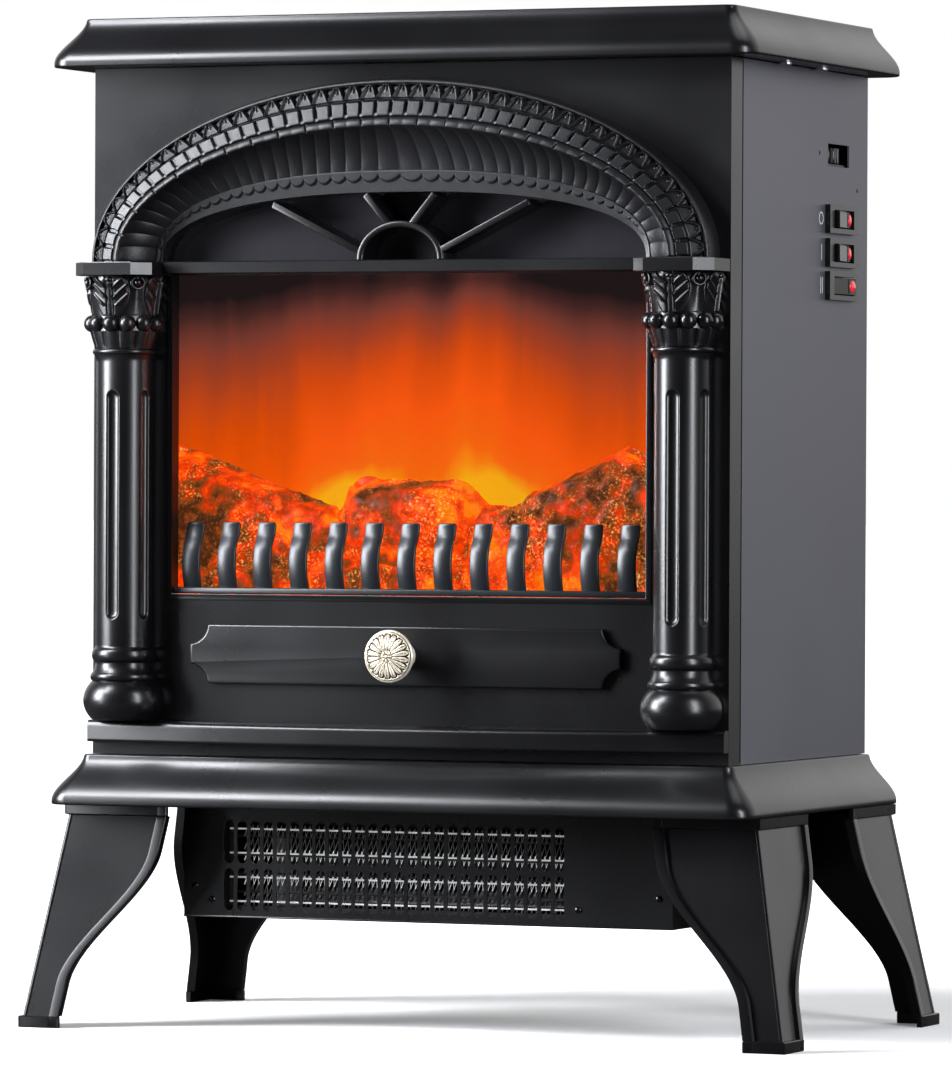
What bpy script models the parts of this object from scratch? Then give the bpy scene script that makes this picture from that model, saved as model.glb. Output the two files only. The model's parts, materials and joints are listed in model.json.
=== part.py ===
"""Free-standing electric fireplace stove: cabinet, fireplace front, flame drive and fan heater.

Metres, +Z up. X runs across the stove, -Y is the front, and Z = 0 is the floor. The origin is
the middle of the overall footprint. Every separate physical piece is one object.
"""

import math

import bmesh
import bpy
from mathutils import Matrix, Vector

# ---------------------------------------------------------------- driving dimensions

GAP = 0.0003                    # left between pieces that touch
SHEET = 0.0012                  # sheet metal
WALL = 0.003                    # moulded wall

CABINET_WIDTH = 0.420
CABINET_DEPTH = 0.2386
HALF = CABINET_WIDTH / 2
SLAB_REACH = 0.0366             # how far the column slabs stand ahead of the fascia
FOOT_BACK = 0.2606              # how far the rear feet end behind the fascia
FRONT = (SLAB_REACH - FOOT_BACK) / 2    # Y of the fascia's face, which centres the stove on Y = 0
BACK = FRONT + CABINET_DEPTH

BASE_BOTTOM = 0.1383
BASE_TOP = 0.1692
CAP_BOTTOM = 0.5919
CAP_TOP = 0.6222
BODY_BOTTOM = BASE_TOP + GAP
BODY_TOP = CAP_BOTTOM - GAP

# The cap and the base share one ogee moulding: plan half width, front, back, corner radius.
NARROW_PLAN = (0.2145, -0.0075, 0.2395, 0.006)
FLARED_PLAN = (0.2315, -0.0245, 0.2490, 0.014)
OGEE_STEPS = 9
CORNER_STEPS = 5
BASE_FLANGE = 0.020             # width of the base moulding's top flange

SPRING_Z = 0.4718               # level where the arch springs from the slabs
FASCIA_THICK = 0.003
RETURN_DEPTH = 0.019            # depth of the fascia's side returns
WINDOW_HALF = 0.1565
WINDOW_BOTTOM = 0.2685
WINDOW_TOP = 0.4640
FAN_SILL = 0.4722               # bottom edge of the fanlight
ARCH_STEPS = 36
THROAT_SPAN = (0.1595, 0.0415)  # the arch's inner edge: half width, rise
THROAT_POWER = 2.4              # 2 is an ellipse, and more is squarer

COLUMN_X = 0.184
COLUMN_AXIS = -0.0108           # column axis ahead of the fascia
SLAB_HALF = 0.0258
SLAB_CHAMFER = 0.0099
SLAB_BOTTOM = 0.4634
SLAB_TOP = 0.4715
SHAFT_RADIUS = 0.0172
FLUTE_ANGLES = (-72, 0, 72)     # degrees round the shaft from straight ahead
FLUTE_RADIUS = 0.0037

HEATER_HALF = 0.1622
HEATER_FRONT = 0.0317
HEATER_BACK = 0.1750
HEATER_BOTTOM = 0.0685
HEATER_TOP = BASE_BOTTOM - GAP
SLOT_COLUMNS = 26
SLOT_PITCH = 0.00881
SLOT_FIRST_X = -0.1318
SLOT_HALF_WIDTH = 0.0032
SLOT_ROWS = ((0.0728, 0.0992), (0.1020, 0.1290))

ROTOR_AXIS = (0.088, 0.300)     # behind the fascia, height
BLOWER_AXIS = (0.100, 0.104)
SHAFT_CLEARANCE = 0.00008        # radial, in every bearing

SWITCH_LEVELS = {"power": 0.5010, "low_heat": 0.4802, "high_heat": 0.4599}
SWITCH_MIDDLE = 0.1876          # behind the fascia
BEZEL_SIZE = (0.0508, 0.0175)   # along Y, along Z
BEZEL_PROUD = 0.0035
ROCKER_TILT = 7                 # degrees each way from level
THERMOSTAT_MIDDLE = 0.1859
THERMOSTAT_Z = 0.5405
THERMOSTAT_RADIUS = 0.0215

# ---------------------------------------------------------------- colours: RGB, roughness, metallic

BLACK_PLASTIC = ((0.018, 0.018, 0.020), 0.38, 0.0)
BLACK_PAINT = ((0.030, 0.030, 0.034), 0.42, 0.0)
GREY_PAINT = ((0.100, 0.100, 0.115), 0.45, 0.0)
BRIGHT_STEEL = ((0.55, 0.55, 0.56), 0.35, 1.0)
BRASS = ((0.85, 0.68, 0.42), 0.18, 1.0)
CLEAR_GLASS = ((0.85, 0.88, 0.90), 0.05, 0.0)
SMOKED_GLASS = ((0.16, 0.16, 0.18), 0.08, 0.0)
EMBER = ((0.85, 0.14, 0.03), 0.45, 0.0)
FLAME = ((0.95, 0.40, 0.06), 0.60, 0.0)
MICA = ((0.62, 0.58, 0.50), 0.70, 0.0)
WHITE_PLASTIC = ((0.75, 0.75, 0.72), 0.50, 0.0)
BOARD_GREEN = ((0.03, 0.20, 0.08), 0.50, 0.0)
BAKELITE = ((0.10, 0.05, 0.03), 0.45, 0.0)


# ---------------------------------------------------------------- scene and helpers

def clear_scene():
    for existing in list(bpy.data.objects):
        bpy.data.objects.remove(existing, do_unlink=True)


def make_collection(name):
    collection = bpy.data.collections.new(name)
    bpy.context.scene.collection.children.link(collection)
    return collection


def finish_mesh(bm):
    """Welds the mesh, turns its faces outwards and shades its soft edges smooth."""
    bmesh.ops.remove_doubles(bm, verts=bm.verts, dist=0.000001)
    bmesh.ops.recalc_face_normals(bm, faces=bm.faces)
    mesh = bpy.data.meshes.new("shape")
    bm.to_mesh(mesh)
    bm.free()
    mesh.shade_smooth()
    mesh.set_sharp_from_angle(angle=math.radians(35))
    return mesh


def add_part(name, mesh, look, location=(0, 0, 0), rotation=(0, 0, 0)):
    """Adds one named piece with a material of its own."""
    colour, roughness, metallic = look
    material = bpy.data.materials.new(name)
    material.use_nodes = True
    shader = material.node_tree.nodes["Principled BSDF"]
    shader.inputs["Base Color"].default_value = (*colour, 1.0)
    shader.inputs["Roughness"].default_value = roughness
    shader.inputs["Metallic"].default_value = metallic
    mesh.name = name
    mesh.materials.clear()
    mesh.materials.append(material)
    part = bpy.data.objects.new(name, mesh)
    part.location = location
    part.rotation_euler = rotation
    parts.objects.link(part)
    return part


def combine(part, mesh, operation):
    """Cuts mesh from the part (DIFFERENCE) or joins it on (UNION)."""
    tool = bpy.data.objects.new(part.name + "_tool", mesh)
    tool.location = part.location
    tool.rotation_euler = part.rotation_euler
    tool.hide_render = True
    tool.display_type = "WIRE"
    cutters.objects.link(tool)
    modifier = part.modifiers.new(operation.title(), "BOOLEAN")
    modifier.operation = operation
    modifier.object = tool


def round_edges(part, width, segments=1):
    modifier = part.modifiers.new("Bevel", "BEVEL")
    modifier.width = width
    modifier.segments = segments
    modifier.limit_method = "ANGLE"
    modifier.angle_limit = math.radians(50)


def box_mesh(low, high):
    bm = bmesh.new()
    bmesh.ops.create_cube(bm, size=1.0)
    size = [b - a for a, b in zip(low, high)]
    middle = [(a + b) / 2 for a, b in zip(low, high)]
    bmesh.ops.scale(bm, vec=size, verts=bm.verts)
    bmesh.ops.translate(bm, vec=middle, verts=bm.verts)
    return finish_mesh(bm)


def rod_mesh(centre, radius, length, axis, segments=20):
    """A cylinder about one of the axes X, Y or Z."""
    turn = {"X": Matrix.Rotation(math.radians(90), 3, "Y"),
            "Y": Matrix.Rotation(math.radians(90), 3, "X"),
            "Z": Matrix.Identity(3)}[axis]
    bm = bmesh.new()
    bmesh.ops.create_cone(bm, cap_ends=True, segments=segments, radius1=radius, radius2=radius,
                          depth=length)
    bmesh.ops.rotate(bm, matrix=turn, verts=bm.verts)
    bmesh.ops.translate(bm, vec=centre, verts=bm.verts)
    return finish_mesh(bm)


def merged(meshes):
    """One mesh that holds several loose shapes, for use as a cutter."""
    bm = bmesh.new()
    for mesh in meshes:
        bm.from_mesh(mesh)
    return finish_mesh(bm)


def flat_mesh(outlines, low, high, plane):
    """Closed outlines filled and extruded from low to high; inner outlines are holes.

    Plane XY extrudes along Z, XZ along Y and YZ along X.
    """
    turn = {"XY": Matrix.Identity(4),
            "XZ": Matrix.Rotation(math.radians(90), 4, "X"),
            "YZ": Matrix(((0, 0, 1, 0), (1, 0, 0, 0), (0, 1, 0, 0), (0, 0, 0, 1)))}[plane]
    normal = {"XY": Vector((0, 0, 1)), "XZ": Vector((0, 1, 0)), "YZ": Vector((1, 0, 0))}[plane]
    curve = bpy.data.curves.new("outline", "CURVE")
    curve.dimensions = "2D"
    curve.fill_mode = "BOTH"
    curve.extrude = (high - low) / 2
    for outline in outlines:
        spline = curve.splines.new("POLY")
        spline.points.add(len(outline) - 1)
        for point, (u, v) in zip(spline.points, outline):
            point.co = (u, v, 0, 1)
        spline.use_cyclic_u = True
    guide = bpy.data.objects.new("outline", curve)
    cutters.objects.link(guide)
    mesh = bpy.data.meshes.new_from_object(guide)
    bpy.data.objects.remove(guide)
    bm = bmesh.new()
    bm.from_mesh(mesh)
    bmesh.ops.transform(bm, matrix=turn, verts=bm.verts)
    bmesh.ops.translate(bm, vec=normal * (low + high) / 2, verts=bm.verts)
    return finish_mesh(bm)


def turned_part(name, profile, look, axis, location, steps=24):
    """A profile of (radius, height) points, from the top down, turned about X, Y or Z."""
    turn = {"X": (0, math.radians(90), 0), "Y": (math.radians(90), 0, 0), "Z": (0, 0, 0)}[axis]
    bm = bmesh.new()
    line = [bm.verts.new((radius, 0, height)) for radius, height in profile]
    for first, second in zip(line, line[1:]):
        bm.edges.new((first, second))
    mesh = bpy.data.meshes.new(name)
    bm.to_mesh(mesh)
    bm.free()
    part = add_part(name, mesh, look, location, turn)
    screw = part.modifiers.new("Screw", "SCREW")
    screw.steps = steps
    screw.render_steps = steps
    screw.use_merge_vertices = True
    screw.merge_threshold = 0.00001
    screw.use_smooth_shade = True
    return part


def loft_mesh(rings, closed=False):
    """Skins rings of equally many points. An open loft gets a cap at each end."""
    bm = bmesh.new()
    rows = [[bm.verts.new(point) for point in ring] for ring in rings]
    pairs = list(zip(rows, rows[1:]))
    if closed:
        pairs.append((rows[-1], rows[0]))
    for first, second in pairs:
        for index in range(len(first)):
            following = (index + 1) % len(first)
            bm.faces.new((first[index], first[following], second[following], second[index]))
    if not closed:
        bm.faces.new(rows[0])
        bm.faces.new(rows[-1])
    return finish_mesh(bm)


def arc(centre, radius, start, end, steps):
    """Points on a circle from start to end, in degrees."""
    points = []
    for step in range(steps + 1):
        angle = math.radians(start + (end - start) * step / steps)
        points.append((centre[0] + radius * math.cos(angle), centre[1] + radius * math.sin(angle)))
    return points


def rectangle(low_u, low_v, high_u, high_v):
    return [(low_u, low_v), (high_u, low_v), (high_u, high_v), (low_u, high_v)]


def smooth(value):
    """An S-curve from 0 to 1, flat at both ends."""
    value = min(max(value, 0), 1)
    return value * value * (3 - 2 * value)


def between(first, second, share):
    return first + (second - first) * share


# ---------------------------------------------------------------- cap, base and feet

def moulding_ring(flare, z, inset=0.0):
    """A rounded rectangle between the moulding's narrow plan (0) and its flared plan (1)."""
    half, front, back, radius = (between(a, b, flare) for a, b in zip(NARROW_PLAN, FLARED_PLAN))
    half -= inset
    front += inset
    back -= inset
    radius = max(radius - inset, 0.002)
    ring = []
    for centre, start in (((half - radius, back - radius), 0), ((radius - half, back - radius), 90),
                          ((radius - half, front + radius), 180), ((half - radius, front + radius), 270)):
        ring += arc(centre, radius, start, start + 90, CORNER_STEPS)
    return [(x, FRONT + y, z) for x, y in ring]


def ogee_rings(top, bottom, inset=0.0):
    """The moulding's ogee face from its narrow top to its flared bottom."""
    rings = []
    for step in range(OGEE_STEPS + 1):
        drop = step / OGEE_STEPS
        rings.append(moulding_ring(smooth(drop), between(top, bottom, drop), inset))
    return rings


def build_top_cap():
    outside = ogee_rings(CAP_TOP, CAP_BOTTOM)
    inside = ogee_rings(CAP_TOP - WALL, CAP_BOTTOM, inset=WALL)
    inside.reverse()
    add_part("top_cap", loft_mesh(outside + inside), BLACK_PLASTIC)


SCREW_HOLE_RADIUS = 0.0021
CAP_SCREWS = {"right_front": (0.2190, FRONT + 0.068), "right_rear": (0.2190, FRONT + 0.131),
              "left_front": (-0.2190, FRONT + 0.068), "left_rear": (-0.2190, FRONT + 0.131)}


def build_cap_plate():
    low = CAP_BOTTOM + GAP
    plate_inset = 0.0045
    rings = [moulding_ring(1, low, plate_inset), moulding_ring(1, low + SHEET, plate_inset)]
    plate = add_part("cap_plate", loft_mesh(rings), BLACK_PAINT)
    combine(plate, merged([rod_mesh((x, y, low), SCREW_HOLE_RADIUS, 4 * SHEET, "Z", 12)
                           for x, y in CAP_SCREWS.values()]), "DIFFERENCE")


def build_cap_screws():
    """Pan-head screws that hold the plate to the cap, heads down."""
    head = 0.0038
    shank = 0.0016
    head_height = 0.0024
    for place, (x, y) in CAP_SCREWS.items():
        under = CAP_BOTTOM
        profile = [(0, 0.009), (shank, 0.009), (shank, 0), (head, 0), (head, -0.6 * head_height),
                   (0.6 * head, -head_height), (0, -head_height)]
        turned_part("cap_screw_" + place, profile, BRIGHT_STEEL, "Z", (x, y, under), steps=12)


def build_base_moulding():
    floor = BASE_BOTTOM + WALL
    ceiling = BASE_TOP - WALL
    inside = ogee_rings(ceiling, floor, inset=WALL)
    inside.reverse()
    flange = [moulding_ring(0, ceiling, BASE_FLANGE), moulding_ring(0, BASE_TOP, BASE_FLANGE)]
    outside = ogee_rings(BASE_TOP, BASE_BOTTOM)
    base = add_part("base_moulding", loft_mesh(inside + flange + outside), BLACK_PLASTIC)
    outlet = box_mesh((-HEATER_HALF + WALL, FRONT + HEATER_FRONT + WALL, BASE_BOTTOM - WALL),
                      (HEATER_HALF - WALL, FRONT + HEATER_BACK - WALL, floor + WALL))
    combine(base, outlet, "DIFFERENCE")


LEG_TOP = BASE_BOTTOM - GAP
COLLAR_BOTTOM = 0.1316
FOOT_TOP = 0.0072
KNEE_TOP = 0.110                # the arms narrow from here
KNEE_BOTTOM = 0.027             # down to here
LEG_THICK = 0.0034
LEG_RIM = 0.0062                # width of the raised border along each arm's end
LEG_LIFT = 0.0026               # how far that border stands out of the field
COLLAR_CORNER = (0.2298, 0.0013, 0.2417)    # X, front Y and rear Y of the collars' corners
COLLAR_PROUD = 0.0028
FOOT_PROUD = 0.0030
ANKLE_ARMS = (0.0242, 0.0305)
LEG_SPLAY = 0.1820


def leg_ring(across, along, lift):
    """The leg's L section, with a raised border along the end of each arm."""
    slope = 0.0006
    return [(0, 0), (across - LEG_RIM - slope, 0), (across - LEG_RIM, -lift), (across, -lift),
            (across, LEG_THICK), (LEG_THICK, LEG_THICK), (LEG_THICK, along), (-lift, along),
            (-lift, along - LEG_RIM), (0, along - LEG_RIM - slope)]


def build_leg(name, side, corner_y, inward, foot_y, top_arms):
    """A splayed corner leg. side is the sign of X, inward the sign of Y into the stove."""
    corner_x = COLLAR_CORNER[0]
    run = COLLAR_BOTTOM - FOOT_TOP
    splay_y = (abs(foot_y - corner_y) + COLLAR_PROUD - FOOT_PROUD) / run
    step = 0.0005
    levels = [(0.0, "foot"), (FOOT_TOP - step, "foot"), (FOOT_TOP, "panel")]
    panel_steps = 14
    for index in range(1, panel_steps):
        levels.append((between(FOOT_TOP, COLLAR_BOTTOM, index / panel_steps), "panel"))
    levels += [(COLLAR_BOTTOM, "panel"), (COLLAR_BOTTOM + step, "collar"), (LEG_TOP, "collar")]
    rings = []
    for z, kind in levels:
        drop = COLLAR_BOTTOM - min(max(z, FOOT_TOP), COLLAR_BOTTOM)
        proud = {"foot": FOOT_PROUD, "panel": 0.0, "collar": COLLAR_PROUD}[kind]
        out_x = corner_x - COLLAR_PROUD + LEG_SPLAY * drop + proud
        out_y = corner_y + inward * (COLLAR_PROUD - splay_y * drop - proud)
        wide = smooth((z - KNEE_BOTTOM) / (KNEE_TOP - KNEE_BOTTOM))
        arms = [between(ankle, top, wide) + proud for ankle, top in zip(ANKLE_ARMS, top_arms)]
        lift = LEG_LIFT if kind == "panel" else 0.0
        section = leg_ring(*arms, lift)
        rings.append([(side * (out_x - u), FRONT + out_y + inward * v, z) for u, v in section])
    add_part(name, loft_mesh(rings), BLACK_PLASTIC)


def build_legs():
    front_arms = (0.0665, 0.0800)
    rear_arms = (0.0665, 0.0745)
    _, front_y, rear_y = COLLAR_CORNER
    for side, word in ((-1, "left"), (1, "right")):
        build_leg("front_" + word + "_leg", side, front_y, 1, -0.0165, front_arms)
        build_leg("rear_" + word + "_leg", side, rear_y, -1, FOOT_BACK, rear_arms)


# ---------------------------------------------------------------- cabinet

PANEL_FLANGE = 0.011


def side_panel_mesh(side):
    """A sheet side with a flange folded inwards along its rear edge."""
    front = FRONT + RETURN_DEPTH + 0.0006
    outline = [(HALF, front), (HALF, BACK), (HALF - PANEL_FLANGE, BACK), (HALF - PANEL_FLANGE, BACK - SHEET),
               (HALF - SHEET, BACK - SHEET), (HALF - SHEET, front)]
    return flat_mesh([[(side * x, y) for x, y in outline]], BODY_BOTTOM, BODY_TOP, "XY")


def build_side_panels():
    add_part("left_side_panel", side_panel_mesh(-1), GREY_PAINT)
    right = add_part("right_side_panel", side_panel_mesh(1), GREY_PAINT)
    through = (HALF - 0.005, HALF + 0.005)
    holes = []
    for z in SWITCH_LEVELS.values():
        holes.append(box_mesh((through[0], FRONT + SWITCH_MIDDLE - CUTOUT_HALF[0], z - CUTOUT_HALF[1]),
                              (through[1], FRONT + SWITCH_MIDDLE + CUTOUT_HALF[0], z + CUTOUT_HALF[1])))
    window = (0.0190, 0.0069)
    holes.append(box_mesh((through[0], FRONT + THERMOSTAT_MIDDLE - window[0], THERMOSTAT_Z - window[1]),
                          (through[1], FRONT + THERMOSTAT_MIDDLE + window[0], THERMOSTAT_Z + window[1])))
    for y, z in ((0.152, 0.5410), (0.2197, 0.5200)):
        holes.append(rod_mesh((HALF, FRONT + y, z), 0.0014, 0.01, "X", 10))
    combine(right, merged(holes), "DIFFERENCE")


GLAND_PLACE = (0.150, 0.205)
GLAND_HOLE = 0.0085


def build_back_panel():
    """The rear sheet, inside the side panels' flanges, with two banks of air slots."""
    outline = rectangle(-HALF + 0.0017, BODY_BOTTOM + 2 * SHEET, HALF - 0.0017, BODY_TOP)
    holes = [arc(GLAND_PLACE, GLAND_HOLE, 0, 330, 11)]
    slot_half = (0.055, 0.0025)
    for bank_x in (-0.095, 0.095):
        for row in range(7):
            z = 0.300 + 0.014 * row
            low, high = z - slot_half[1], z + slot_half[1]
            holes.append(rectangle(bank_x - slot_half[0], low, bank_x + slot_half[0], high))
    high = BACK - SHEET - GAP
    add_part("back_panel", flat_mesh([outline] + holes, high - SHEET, high, "XZ"), GREY_PAINT)
    flange = 0.0115
    profile = [(0.0045, 0.0100), (0.0080, 0.0100), (0.0080, -GAP), (flange, -GAP),
               (flange, -0.0030), (0.0065, -0.0070), (0.0045, -0.0070), (0.0045, 0.0100)]
    turned_part("cord_gland", profile, BLACK_PLASTIC, "Y",
                (GLAND_PLACE[0], high, GLAND_PLACE[1]), steps=20)


def build_base_plate():
    low = BODY_BOTTOM
    half = HALF - WALL - GAP
    outline = rectangle(-half, FRONT + FASCIA_THICK + GAP, half, BACK - 0.0035)
    intake = rectangle(-0.10, FRONT + 0.060, 0.10, FRONT + 0.150)
    add_part("base_plate", flat_mesh([outline, intake], low, low + SHEET, "XY"), BRIGHT_STEEL)


# ---------------------------------------------------------------- fireplace front

def arch_point(half_width, rise, power, share):
    """A point on half an ellipse, or a squarer curve, from its right end (0) to its left end (1)."""
    across = math.cos(math.pi * share)
    up = math.sin(math.pi * share)
    return half_width * math.copysign(abs(across) ** (2 / power), across), rise * up ** (2 / power)


def half_ellipse(half_width, rise, base, steps, power=2):
    """From the right end over the top to the left end."""
    points = []
    for step in range(steps + 1):
        x, z = arch_point(half_width, rise, power, step / steps)
        points.append((x, base + z))
    return points


def fan_outline(margin):
    """The fanlight: flat sill below, half ellipse above."""
    return half_ellipse(THROAT_SPAN[0] + margin, THROAT_SPAN[1] + margin, FAN_SILL - GAP, 24, THROAT_POWER)


def window_outline(margin):
    return rectangle(-WINDOW_HALF - margin, WINDOW_BOTTOM - margin, WINDOW_HALF + margin, WINDOW_TOP + margin)


KNOB_PLACE = (0.0, 0.2325)
KNOB_SCREW_RADIUS = 0.0020


def build_fascia():
    """The moulded front: a plate with the window and the fanlight, and a return at each side."""
    low = BODY_BOTTOM
    screw_hole = arc(KNOB_PLACE, KNOB_SCREW_RADIUS + GAP, 0, 330, 11)
    outlines = [rectangle(-HALF, low, HALF, BODY_TOP), window_outline(0), fan_outline(0.001), screw_hole]
    plate = flat_mesh(outlines, FRONT, FRONT + FASCIA_THICK, "XZ")
    fascia = add_part("front_fascia", plate, BLACK_PLASTIC)
    for side in (-1, 1):
        edges = sorted((side * HALF, side * (HALF - WALL)))
        wall = box_mesh((edges[0], FRONT + FASCIA_THICK / 2, low), (edges[1], FRONT + RETURN_DEPTH, BODY_TOP))
        combine(fascia, wall, "UNION")


def build_glass():
    """The frame behind the fascia, the window glass and the fanlight's smoked pane."""
    frame_front = FRONT + FASCIA_THICK + GAP
    frame_back = FRONT + 0.0102
    outline = rectangle(-0.1720, 0.2560, 0.1720, 0.5220)
    add_part("glass_frame", flat_mesh([outline, window_outline(0.0005), fan_outline(0.0015)],
                                      frame_front, frame_back, "XZ"), BLACK_PLASTIC)
    glass_front = frame_back + GAP
    glass_back = glass_front + 0.003
    pane_half = 0.1690
    split = 0.4682
    add_part("window_glass", box_mesh((-pane_half, glass_front, 0.2590), (pane_half, glass_back, split)),
             CLEAR_GLASS)
    pane = box_mesh((-pane_half, glass_front, split + GAP), (pane_half, glass_back, 0.5200))
    add_part("fanlight_pane", pane, SMOKED_GLASS)


# Rings of the arch: half width, rise, and how far the ring stands ahead of the fascia.
ARCH_OUTER = (0.2033, 0.1095)
ARCH_CREST = (0.1805, 0.0804, 0.0287)
ARCH_COVE_END = (0.1627, 0.0547, 0.0107)


def arch_sections():
    """From the outer foot on the fascia, round the face, to the throat: the ring and its power."""
    outer, rise = ARCH_OUTER
    crest, crest_rise, crest_out = ARCH_CREST
    end, end_rise, end_out = ARCH_COVE_END
    sections = [(outer, rise, GAP, 2), (outer, rise, 0.0175, 2), (outer - 0.0014, rise - 0.0018, 0.0186, 2),
                (between(outer, crest, 0.45), between(rise, crest_rise, 0.45), 0.0235, 2),
                (between(outer, crest, 0.80), between(rise, crest_rise, 0.80), 0.0272, 2)]
    cove_steps = 6
    for step in range(cove_steps + 1):
        angle = math.radians(90 * step / cove_steps)
        sections.append((between(end, crest, math.cos(angle)), between(end_rise, crest_rise, math.cos(angle)),
                         crest_out - (crest_out - end_out) * math.sin(angle),
                         between(2, THROAT_POWER, step / cove_steps)))
    throat, throat_rise = THROAT_SPAN
    sections += [(throat, throat_rise, 0.0095, THROAT_POWER), (throat, throat_rise, GAP, THROAT_POWER)]
    return sections


def build_arch():
    sections = arch_sections()
    rings = []
    for step in range(ARCH_STEPS + 1):
        ring = []
        for half, rise, out, power in sections:
            x, z = arch_point(half, rise, power, step / ARCH_STEPS)
            ring.append((x, FRONT - out, SPRING_Z + z))
        rings.append(ring)
    add_part("arch_moulding", loft_mesh(rings), BLACK_PLASTIC)


def bar_mesh(start, end, width, front, back):
    """A straight bar between two points in the XZ plane."""
    direction = (Vector(end) - Vector(start)).normalized()
    side = Vector((-direction.y, direction.x)) * width / 2
    start, end = Vector(start), Vector(end)
    return flat_mesh([[start + side, start - side, end - side, end + side]], front, back, "XZ")


def build_fanlight_grille():
    """The hub and four rays that fill the fanlight."""
    front = FRONT - 0.0120
    back = FRONT + 0.0095
    sill = FAN_SILL + GAP
    ring_width = 0.0040
    ray_setback = 0.0004
    hub = half_ellipse(0.0288, 0.0236, sill, steps=16)
    hub += reversed(half_ellipse(0.0288 - ring_width, 0.0236 - ring_width, sill, steps=16))
    grille = add_part("fanlight_grille", flat_mesh([hub], front, back, "XZ"), BLACK_PLASTIC)
    for side in (-1, 1):
        for start, end in (((0.0245, 0.4766), (0.0828, 0.5055)), ((0.0072, 0.4930), (0.0226, 0.5114))):
            ray = bar_mesh((side * start[0], start[1]), (side * end[0], end[1]), 0.0032,
                           front + ray_setback, back - ray_setback)
            combine(grille, ray, "UNION")


def build_transom():
    bar_mesh = box_mesh((-0.1579, FRONT - 0.0120, 0.4646), (0.1579, FRONT - GAP, FAN_SILL))
    bar = add_part("transom_bar", bar_mesh, BLACK_PLASTIC)
    round_edges(bar, 0.0006)


def slab_outline(centre_x):
    """A square with cut corners, ended at the fascia."""
    centre_y = FRONT + COLUMN_AXIS
    side = SLAB_HALF
    cut = SLAB_HALF - SLAB_CHAMFER
    back = FRONT - GAP
    return [(centre_x - side, back), (centre_x - side, centre_y - cut), (centre_x - cut, centre_y - side),
            (centre_x + cut, centre_y - side), (centre_x + side, centre_y - cut), (centre_x + side, back)]


CAPITAL_PROFILE = [(0, SLAB_BOTTOM - GAP), (0.0236, SLAB_BOTTOM - GAP), (0.0240, 0.4600), (0.0228, 0.4500),
                   (0.0206, 0.4408), (0.0222, 0.4390), (0.0240, 0.4365), (0.0240, 0.4328), (0.0222, 0.4302),
                   (0.0200, 0.4250), (0.0178, 0.4188), (0.0178, 0.4150), (0, 0.4150)]
COLUMN_PROFILE = [(0, 0.4147), (0.0190, 0.4147), (0.0197, 0.4130), (0.0190, 0.4106), (SHAFT_RADIUS, 0.4080),
                  (SHAFT_RADIUS, 0.2352), (0.0188, 0.2340), (0.0196, 0.2303), (0.0188, 0.2268),
                  (0.0170, 0.2258), (0.0174, 0.2228), (0.0192, 0.2200), (0.0204, 0.2185), (0.0200, 0.2156),
                  (0.0194, 0.2146), (0.0225, 0.2115), (0.0243, 0.2075), (0.0247, 0.2030), (0.0241, 0.1980),
                  (0.0225, 0.1935), (0.0205, 0.1908), (0, 0.1908)]


def build_columns():
    """Engaged columns: turned pieces cut off flat where they meet the fascia."""
    behind = box_mesh((-0.05, -COLUMN_AXIS - GAP, 0), (0.05, 0.05, 0.5))
    flute_length = 0.138
    flute_z = 0.323
    for side, word in ((-1, "left"), (1, "right")):
        place = (side * COLUMN_X, FRONT + COLUMN_AXIS, 0)
        slab_mesh = flat_mesh([slab_outline(side * COLUMN_X)], SLAB_BOTTOM, SLAB_TOP, "XY")
        slab = add_part(word + "_slab", slab_mesh, BLACK_PLASTIC)
        round_edges(slab, 0.0004)
        capital = turned_part(word + "_capital", CAPITAL_PROFILE, BLACK_PLASTIC, "Z", place, steps=22)
        combine(capital, behind.copy(), "DIFFERENCE")
        column = turned_part(word + "_column", COLUMN_PROFILE, BLACK_PLASTIC, "Z", place, steps=22)
        combine(column, behind.copy(), "DIFFERENCE")
        flutes = []
        for angle in FLUTE_ANGLES:
            reach = SHAFT_RADIUS + 0.4 * FLUTE_RADIUS
            out = (reach * math.sin(math.radians(angle)), -reach * math.cos(math.radians(angle)), flute_z)
            flutes.append(rod_mesh(out, FLUTE_RADIUS, flute_length, "Z", 10))
        combine(column, merged(flutes), "DIFFERENCE")


def build_sill_ledge():
    """The bowed ledge under the columns: flat front edge, rounded top."""
    end_reach = 0.008
    bow = 0.014
    bottom = 0.1771
    front_top = 0.1870
    top = 0.1904
    rings = []
    steps = 16
    for step in range(steps + 1):
        share = between(-1, 1, step / steps)
        reach = end_reach + bow * (1 - share * share)
        x = share * HALF
        profile = [(GAP, bottom), (reach, bottom), (reach, front_top)]
        profile += [(0.93 * reach, between(front_top, top, 0.6))]
        profile += [(0.75 * reach, between(front_top, top, 0.9)), (0.5 * reach, top), (GAP, top)]
        rings.append([(x, FRONT - out, z) for out, z in profile])
    add_part("sill_ledge", loft_mesh(rings), BLACK_PLASTIC)


def drawer_outline():
    """A long plate whose corners are scooped out, with a tab at each end."""
    main_half, tab_half = 0.1300, 0.1430
    low, high = 0.2129, 0.2510
    scoop = tab_half - main_half
    corners = (((tab_half, high), 180, 270), ((tab_half, low), 90, 180),
               ((-tab_half, low), 0, 90), ((-tab_half, high), 270, 360))
    outline = []
    for centre, start, end in corners:
        outline += arc(centre, scoop, start, end, 6)
    return outline


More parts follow.
